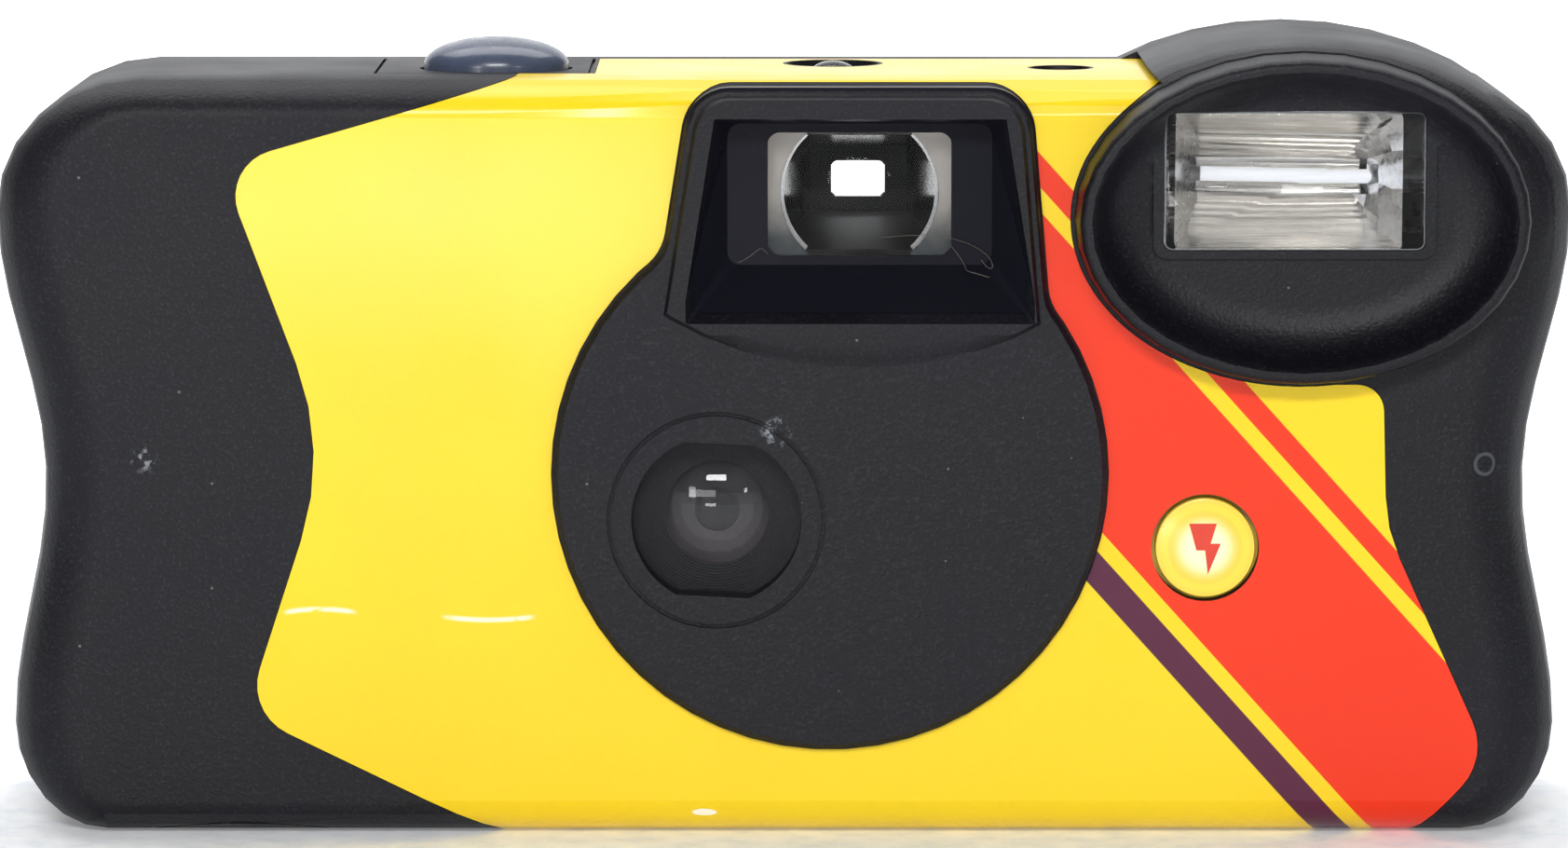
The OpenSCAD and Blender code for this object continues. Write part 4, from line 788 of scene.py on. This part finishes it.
edit_where(lens_seat, "EDGE", lambda c, n: abs(c.z) < tiny)
bpy.ops.mesh.bridge_edge_loops()
bpy.ops.mesh.select_all(action="SELECT")
bpy.ops.mesh.normals_make_consistent(inside=False)
stand(lens_seat, (seat_mid.x, seat_high.y, seat_mid.z), "FRONT")
done(lens_seat, "lens_funnel", 20)
dress(lens_seat, moulded_black("funnel_black", 0.25, 1.4), "case", "lens_retainer")

# %% [markdown]
# The lens itself is a single moulded meniscus: both sides bulge forward, the front more than the back.
# Each side is a cap of a ball, and its depth at a radius places the rings.
# The surface is clear and quite smooth, so that the lamps stand in it as small bright spots.

# %% Taking lens
front_ball, back_ball = 9.0, 14.0
back_rise = 0.55
lens_steps = 12
glass_deep = glass_high.y - glass_low.y


def sag(ball, r):
    """Depth of a spherical cap at a distance from its axis."""
    return ball - math.sqrt(ball * ball - r * r)


radii = [glass_r * step / lens_steps for step in range(1, lens_steps + 1)]
glass_profile = [(0.15, back_rise)]
glass_profile += [(r, max(back_rise - sag(back_ball, r), 0.0)) for r in radii]
glass_profile += [(r, glass_deep - sag(front_ball, r)) for r in reversed(radii)]
glass_profile += [(0.1, glass_deep)]
lens_glass = lathe(glass_profile, 96)
stand(lens_glass, (seat_mid.x, glass_high.y, seat_mid.z), "FRONT")
done(lens_glass, "lens_glass", 40)
dress(lens_glass, clear("lens_clear", (0.98, 0.98, 1.0, 1), 0.02, 1.5, 0.4), "case", "taking_lens")

# %% [markdown]
# The flash is a foil trough behind a clear window, with a thin glass tube along its focus.
# The trough starts as a flat grid. Each row moves back to a parabola-like curve, and every second row
# a little less, which makes the ribs.

# %% Flash reflector
foil_low, foil_high = span("flash_reflector")
foil_mid = (foil_low + foil_high) / 2
foil_half = (foil_high.z - foil_low.z) / 2 - 0.15
foil_deep = foil_high.y - foil_low.y - 0.35
foil_long = foil_high.x - foil_low.x - 0.4
foil_power = 2.2
foil_rows = 48
rib_high = 0.12


def foil(name, shade, gloss):
    """Thin mirror foil with drawn lines along it."""
    f = Finish(name, Metallic=1.0)
    drawn = f.vector("MULTIPLY", f.place, (0.05, 1.0, 1.0)).outputs[0]
    lines = f.noise(2600, 3.0, 0.6, drawn)
    f.wear("Base Color", f.mix(f.step(lines, 0.3, 0.7), dim(shade, 0.8), shade))
    f.wear("Roughness", f.step(lines, 0.3, 0.7, gloss, gloss + 0.12))
    f.wear("Normal", f.bump(lines, 0.01))
    return f


def foil_sheet(columns, count):
    """An upright grid, one metre wide and high, that faces the viewer."""
    deselect()
    bpy.ops.mesh.primitive_grid_add(x_subdivisions=columns, y_subdivisions=count, size=1,
                                    location=(0, 0, 0), rotation=(math.pi / 2, 0, 0))
    return bpy.context.object


trough = foil_sheet(2, foil_rows)
trough.scale = (foil_long * MM, 2 * foil_half * MM, 1)
bpy.ops.object.transform_apply(location=True, rotation=True, scale=True)
for row in range(foil_rows + 1):
    share = 2 * row / foil_rows - 1
    level = share * foil_half * MM
    rib = rib_high if row % 2 and abs(share) < 0.95 else 0.0
    depth = foil_deep * (1 - abs(share) ** foil_power)
    edit_where(trough, "VERT", lambda c, n: abs(c.z - level) < tiny)
    bpy.ops.transform.translate(value=(0, (depth - rib) * MM, 0))
bpy.ops.object.mode_set(mode="OBJECT")
trough.location = Vector((foil_mid.x, foil_low.y + 0.02, foil_mid.z)) * MM
done(trough, "flash_trough", 25)
dress(trough, foil("mirror_foil", (0.82, 0.79, 0.74, 1), 0.16), "case", "flash_reflector")

# %% [markdown]
# One end of the trough is a slanted flap. The other end was folded by hand, so its grid is crumpled.
# Both are grids squeezed almost to a line.
# Each column then moves back and inwards, and narrows like the trough.

# %% Ends of the reflector
end_reach = 0.86
end_gap = 0.25
flap_in, fold_in = 2.1, 3.4
line_wide = 0.001


def end_sheet(at_x, lean, columns, count):
    """An end of the trough: a sheet that leans inwards and narrows towards the back."""
    sheet = foil_sheet(columns, count)
    bpy.ops.object.transform_apply(location=True, rotation=True, scale=True)
    edit_all(sheet)
    bpy.ops.transform.resize(value=(line_wide * MM, 1, 2 * foil_half * MM), center_override=(0, 0, 0))
    bpy.ops.object.mode_set(mode="OBJECT")
    for column in range(columns + 1):
        share = column / columns
        at = (share - 0.5) * line_wide * MM
        narrow = (1 - share * end_reach) ** (1 / foil_power)
        edit_where(sheet, "VERT", lambda c, n: abs(c.x - at) < 0.2 * line_wide * MM)
        bpy.ops.transform.resize(value=(1, 1, narrow), center_override=(0, 0, 0))
        bpy.ops.transform.translate(value=(lean * share * MM, foil_deep * end_reach * share * MM, 0))
    bpy.ops.object.mode_set(mode="OBJECT")
    sheet.location = Vector((at_x, foil_low.y + 0.03, foil_mid.z)) * MM
    return sheet


flap = end_sheet(foil_low.x + end_gap, flap_in, 3, 4)
done(flap, "flash_flap", 25)
dress(flap, foil("flap_foil", (0.86, 0.85, 0.83, 1), 0.25), "case")
fold = end_sheet(foil_high.x - end_gap, -fold_in, 4, 7)
edit_where(fold, "VERT", lambda c, n: c.y > 0.4 * MM)
bpy.ops.transform.vertex_random(offset=0.42 * MM, uniform=0.3, seed=7)
done(fold, "flash_fold", 5)
dress(fold, foil("fold_foil", (0.93, 0.93, 0.94, 1), 0.1), "case")

# %% [markdown]
# The flash tube is clear glass with a wire at each end, one ring stack laid along X.
# Its filling shows as one bright line between two grey electrodes, so it is a thin core of its own, and that
# line is a painted highlight: the filling glows faintly.

# %% Flash tube
tube_low, tube_high = span("flash_tube")
tube_mid = (tube_low + tube_high) / 2
tube_r = (tube_high.z - tube_low.z) / 2
tube_half = (tube_high.x - tube_low.x) / 2
wire_long, wire_r = 2.3, 0.45
core_half = tube_half - wire_long - 0.4
core_r, core_end_r, core_taper = 0.34, 0.2, 0.4
electrode_start, electrode_full = 6.4, 6.6
tube_profile = [(wire_r, 0), (wire_r, wire_long - 0.5)]
tube_profile += [(0.7 * tube_r, wire_long - 0.2), (tube_r, wire_long + 0.3)]
tube_profile += [(r, 2 * tube_half - height) for r, height in reversed(tube_profile)]
flash_glass = lathe(tube_profile, 40)
stand(flash_glass, (tube_low.x, tube_mid.y, tube_mid.z), "SIDE")
done(flash_glass, "flash_tube_glass", 40)
dress(flash_glass, clear("tube_clear", (0.97, 0.98, 1.0, 1)), "case", "flash_tube")


def tube_core():
    """Whitish filling with a painted glow that shows as one bright line, with grey electrodes at its ends."""
    f = Finish("tube_core", Coat_Weight=0.4)
    end = f.step(f.beside("X", tube_mid.x), electrode_start * MM, electrode_full * MM)
    f.wear("Base Color", f.mix(end, srgb(240, 246, 255), srgb(96, 96, 98)))
    f.wear("Roughness", f.mottle(900, 2.0, 0.25, 0.4))
    # The filling glows with painted light, and the electrodes do not.
    f.wear("Emission Strength", f.step(end, 0.2, 0.8, 0.5, 0.0))
    return f


core_profile = [(core_end_r, 0), (core_r, core_taper)]
core_profile += [(r, 2 * core_half - height) for r, height in reversed(core_profile)]
core = lathe(core_profile, 32)
stand(core, (tube_mid.x - core_half, tube_mid.y, tube_mid.z), "SIDE")
done(core, "flash_tube_core", 40)
dress(core, tube_core(), "case")

# %% [markdown]
# The window of the flash is a clear pane with a narrow bevel round its front.
# The bevel catches the light as a pale line, and that line is a painted highlight: its faces get an opaque
# polished grey.

# %% Flash window
pane_low, pane_high = span("flash_lens")
pane_rim, pane_corner, pane_bevel = Vector((0.8, 0, 0.5)), 0.6, 0.2
pane = soft_box(pane_low + pane_rim, pane_high - pane_rim, pane_corner)
edit_where(pane, "EDGE", lambda c, n: abs(n.y) < 0.5 and c.y < pane_low.y * MM + tiny)
bpy.ops.mesh.bevel(offset=pane_bevel * MM, segments=3, affect="EDGES")
bpy.ops.object.mode_set(mode="OBJECT")
paint(pane, clear("flash_clear", shine=0.3))
# The opaque grey on the bevel faces is a painted highlight.
second_finish(pane, polished("pane_edge_painted_highlight", srgb(150, 154, 156)), lambda c, n: -0.95 < n.y < -0.1)
done(pane, "flash_window", 30)
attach(pane, "case")
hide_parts("flash_lens")
print("flash window faces:", len(pane.data.polygons))

# %% [markdown]
# The counter window in the top is a small magnifier: a flange under the cover and a dome over the dial.

# %% Counter window
window_low, window_high = span("counter_window")
window_mid = (window_low + window_high) / 2
window_flange = (window_high.x - window_low.x) / 2
window_r = window_flange - 0.8
flange_z, bulge_z = window_low.z + 0.3, window_low.z + 0.35
bulge_steps, bulge_turn = 10, 8.8
window_profile = [(window_flange, window_low.z), (window_flange, flange_z), (window_r, flange_z)]
for step in range(bulge_steps + 1):
    turn = math.radians(step * bulge_turn)
    window_profile.append((window_r * math.cos(turn), bulge_z + (window_high.z - bulge_z) * math.sin(turn)))
counter_glass = lathe(window_profile, 64)
stand(counter_glass, (window_mid.x, window_mid.y, 0))
done(counter_glass, "counter_glass", 40)
dress(counter_glass, clear("counter_clear"), "case", "counter_window")

# %% [markdown]
# The dial under the window carries plain numbers, every fourth one, set as text and turned into a mesh.
# Each stands at its own angle, with its top towards the middle, and turns with the dial.

# %% Numbers on the dial
dial_low, dial_high = span("counter_wheel")
dial_mid = (dial_low + dial_high) / 2
number_reach, number_size, number_t = 7.2, 2.4, 0.01
number_lift = 0.02
frames, number_step = 28, 4
ink = polished("dial_ink", srgb(24, 24, 26), 0.5)
for number in range(0, frames, number_step):
    deselect()
    turn = 2 * math.pi * number / frames
    bpy.ops.object.text_add(location=(0, 0, 0))
    figure = bpy.context.object
    figure.data.body = str(number)
    figure.data.size = number_size * MM
    figure.data.align_x = "CENTER"
    figure.data.align_y = "CENTER"
    figure.data.extrude = number_t * MM
    bpy.ops.object.convert(target="MESH")
    figure = bpy.context.object
    figure.rotation_euler = (0, 0, turn + math.pi / 2)
    outwards = Vector((math.cos(turn), math.sin(turn), 0)) * number_reach
    figure.location = (Vector((dial_mid.x, dial_mid.y, dial_high.z + number_lift)) + outwards) * MM
    done(figure, "dial_figure_%02d" % number, 10)
    paint(figure, ink)
    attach(figure, "dial")
print("dial figures:", len(range(0, frames, number_step)))

# %% [markdown]
# A used camera gathers lint. A few pale hairs lie in the finder's pocket.
# Each is a thin curve between two points, pulled at both ends, and then turned into a mesh.

# %% Hairs in the pocket
hair_r = 0.025
hairs = [((7.2, -9.62, 44.6), (9.5, 0, 1.2), (1.5, 0, -2.5), (14.6, -10.2, 43.0)),
         ((12.2, -9.62, 44.2), (2.5, 0, -3.0), (-3.0, 0, 1.0), (15.2, -11.4, 41.8)),
         ((-3.4, -10.4, 42.8), (1.8, 0, 0.8), (-0.8, 0, 0.9), (-1.2, -9.9, 43.4))]


def lint():
    """Pale dusty fibre."""
    f = Finish("lint")
    f.wear("Base Color", f.mix(f.noise(2000), srgb(70, 64, 56), srgb(118, 112, 102)))
    f.wear("Roughness", f.mottle(3000, 2.0, 0.7, 0.9))
    return f


lint_finish = lint()
for number, (start, pull_start, pull_end, end) in enumerate(hairs):
    deselect()
    bpy.ops.curve.primitive_bezier_curve_add(location=(0, 0, 0))
    hair = bpy.context.object
    hair.data.bevel_depth = hair_r * MM
    hair.data.bevel_resolution = 1
    points = hair.data.splines[0].bezier_points
    for point, at, pull in zip(points, (start, end), (pull_start, pull_end)):
        point.handle_left_type = point.handle_right_type = "FREE"
        point.co = Vector(at) * MM
        point.handle_left = point.handle_right = (Vector(at) + Vector(pull)) * MM
    bpy.ops.object.convert(target="MESH")
    hair = bpy.context.object
    done(hair, "hair_%d" % number, 60)
    dress(hair, lint_finish, "case")

# %% [markdown]
# Most of the rest is hidden in use, but it shows when the door swings open or the part is taken apart.
# Each of these pieces keeps the frame's own mesh and gets a plain finish of its material.
# A few can be seen from outside: the walls of the finder's tunnel, which mirror the eyepiece,
# the stop behind the lens, the dial and the ready light. The stop glows with a painted light, brighter below.

# %% Finishes of the hidden pieces
tunnel_half_x, tunnel_half_z, tunnel_floor = 7.6, 6.2, -4.3
glow_low, glow_high = -3.0, 2.5


def matte(name, colour, rough=0.6, **sockets):
    """A quiet moulded or painted finish with a little unevenness."""
    f = Finish(name, **sockets)
    f.wear("Base Color", f.mix(f.mottle(260, 3.0), dim(colour, 0.8), colour))
    f.wear("Roughness", f.mottle(1200, 3.0, rough - 0.07, rough + 0.07))
    f.wear("Normal", f.bump(f.noise(2600), 0.006))
    return f


def metal(name, colour, rough=0.3):
    """Sheet metal or wire, slightly uneven."""
    return matte(name, colour, rough, Metallic=1.0)


def printed_white():
    """White plastic with a slight tooth."""
    f = Finish("printed_white")
    white = srgb(226, 224, 214)
    f.wear("Base Color", f.mix(f.mottle(220, 3.0), dim(white, 0.9), white))
    f.wear("Roughness", f.mottle(1500, 2.0, 0.42, 0.58))
    f.wear("Normal", f.bump(f.noise(1800), 0.006))
    return f


def inner_black():
    """Matte black moulding, polished on the walls of the finder tunnel and dull on its floor."""
    f = Finish("inner_black", Specular_IOR_Level=0.5)
    near = f.math("LESS_THAN", f.beside("X", finder_mid.x), tunnel_half_x * MM)
    level = f.math("LESS_THAN", f.beside("Z", finder_mid.z), tunnel_half_z * MM)
    above_floor = f.math("GREATER_THAN", f.axis("Z"), (finder_mid.z + tunnel_floor) * MM)
    tunnel = f.all_of(near, level, above_floor)
    f.wear("Base Color", f.mix(f.mottle(300), srgb(15, 15, 17), srgb(22, 22, 24)))
    f.wear("Roughness", f.step(tunnel, 0.2, 0.8, 0.55, 0.16))
    f.wear("Normal", f.bump(f.noise(2600), 0.004))
    return f


def stop_grey():
    """Dark sheet with a painted glow: a faint steady grey light, brighter below, so that its hole shows as a
    pupil.
    """
    f = Finish("stop_grey", Base_Color=srgb(12, 11, 12), Emission_Color=srgb(52, 48, 51))
    # The glow is painted light, stronger below, so the plate behind the lens shows grey around a dark pupil.
    glow = f.step(f.axis("Z"), (seat_mid.z + glow_low) * MM, (seat_mid.z + glow_high) * MM, 0.8, 0.25)
    f.wear("Emission Strength", glow)
    f.wear("Roughness", f.mottle(1200, 2.0, 0.5, 0.65))
    return f


steel = metal("plated_steel", (0.56, 0.56, 0.58, 1))
hidden = {
    inner_black(): ("light_box", "main_frame", "cartridge_spool", "supply_spool", "film_can_caps"),
    stop_grey(): ("aperture_plate",),
    matte("black_sheet", srgb(9, 9, 10), 0.6): ("shutter_blade",),
    matte("nylon", srgb(222, 220, 208), 0.45): ("sprocket_cam", "metering_lever"),
    printed_white(): ("counter_wheel",),
    steel: ("keeper_plate", "striker_lever", "battery_contact_plus", "battery_contact_minus"),
    metal("bright_wire", (0.66, 0.66, 0.68, 1), 0.2): ("blade_spring", "striker_spring", "metering_spring"),
    metal("leaf_brass", (0.78, 0.57, 0.25, 1)): ("sync_contact", "charge_contact"),
    matte("can_lacquer", srgb(208, 172, 62), 0.3, Metallic=0.6): ("film_can_shell",),
    matte("film_base", srgb(66, 40, 28), 0.25, Coat_Weight=0.3): ("film_strip", "film_roll"),
    matte("cell_sleeve", srgb(44, 46, 52), 0.3, Coat_Weight=0.3): ("battery",),
    matte("board_green", srgb(34, 92, 58), 0.4, Coat_Weight=0.2): ("flash_board",),
    matte("capacitor_sleeve", srgb(36, 40, 56), 0.3): ("flash_capacitor",),
    matte("winding_tape", srgb(206, 168, 60), 0.45): ("flash_transformer",),
    matte("lamp_glass", srgb(236, 214, 190), 0.15, Transmission_Weight=0.5): ("ready_lamp",),
    matte("light_pipe", srgb(150, 62, 36), 0.2, Transmission_Weight=0.5): ("ready_light_pipe",),
}
for finish, names in hidden.items():
    for name in names:
        paint(nodes[name], finish)
print("hidden pieces:", sum(len(names) for names in hidden.values()))
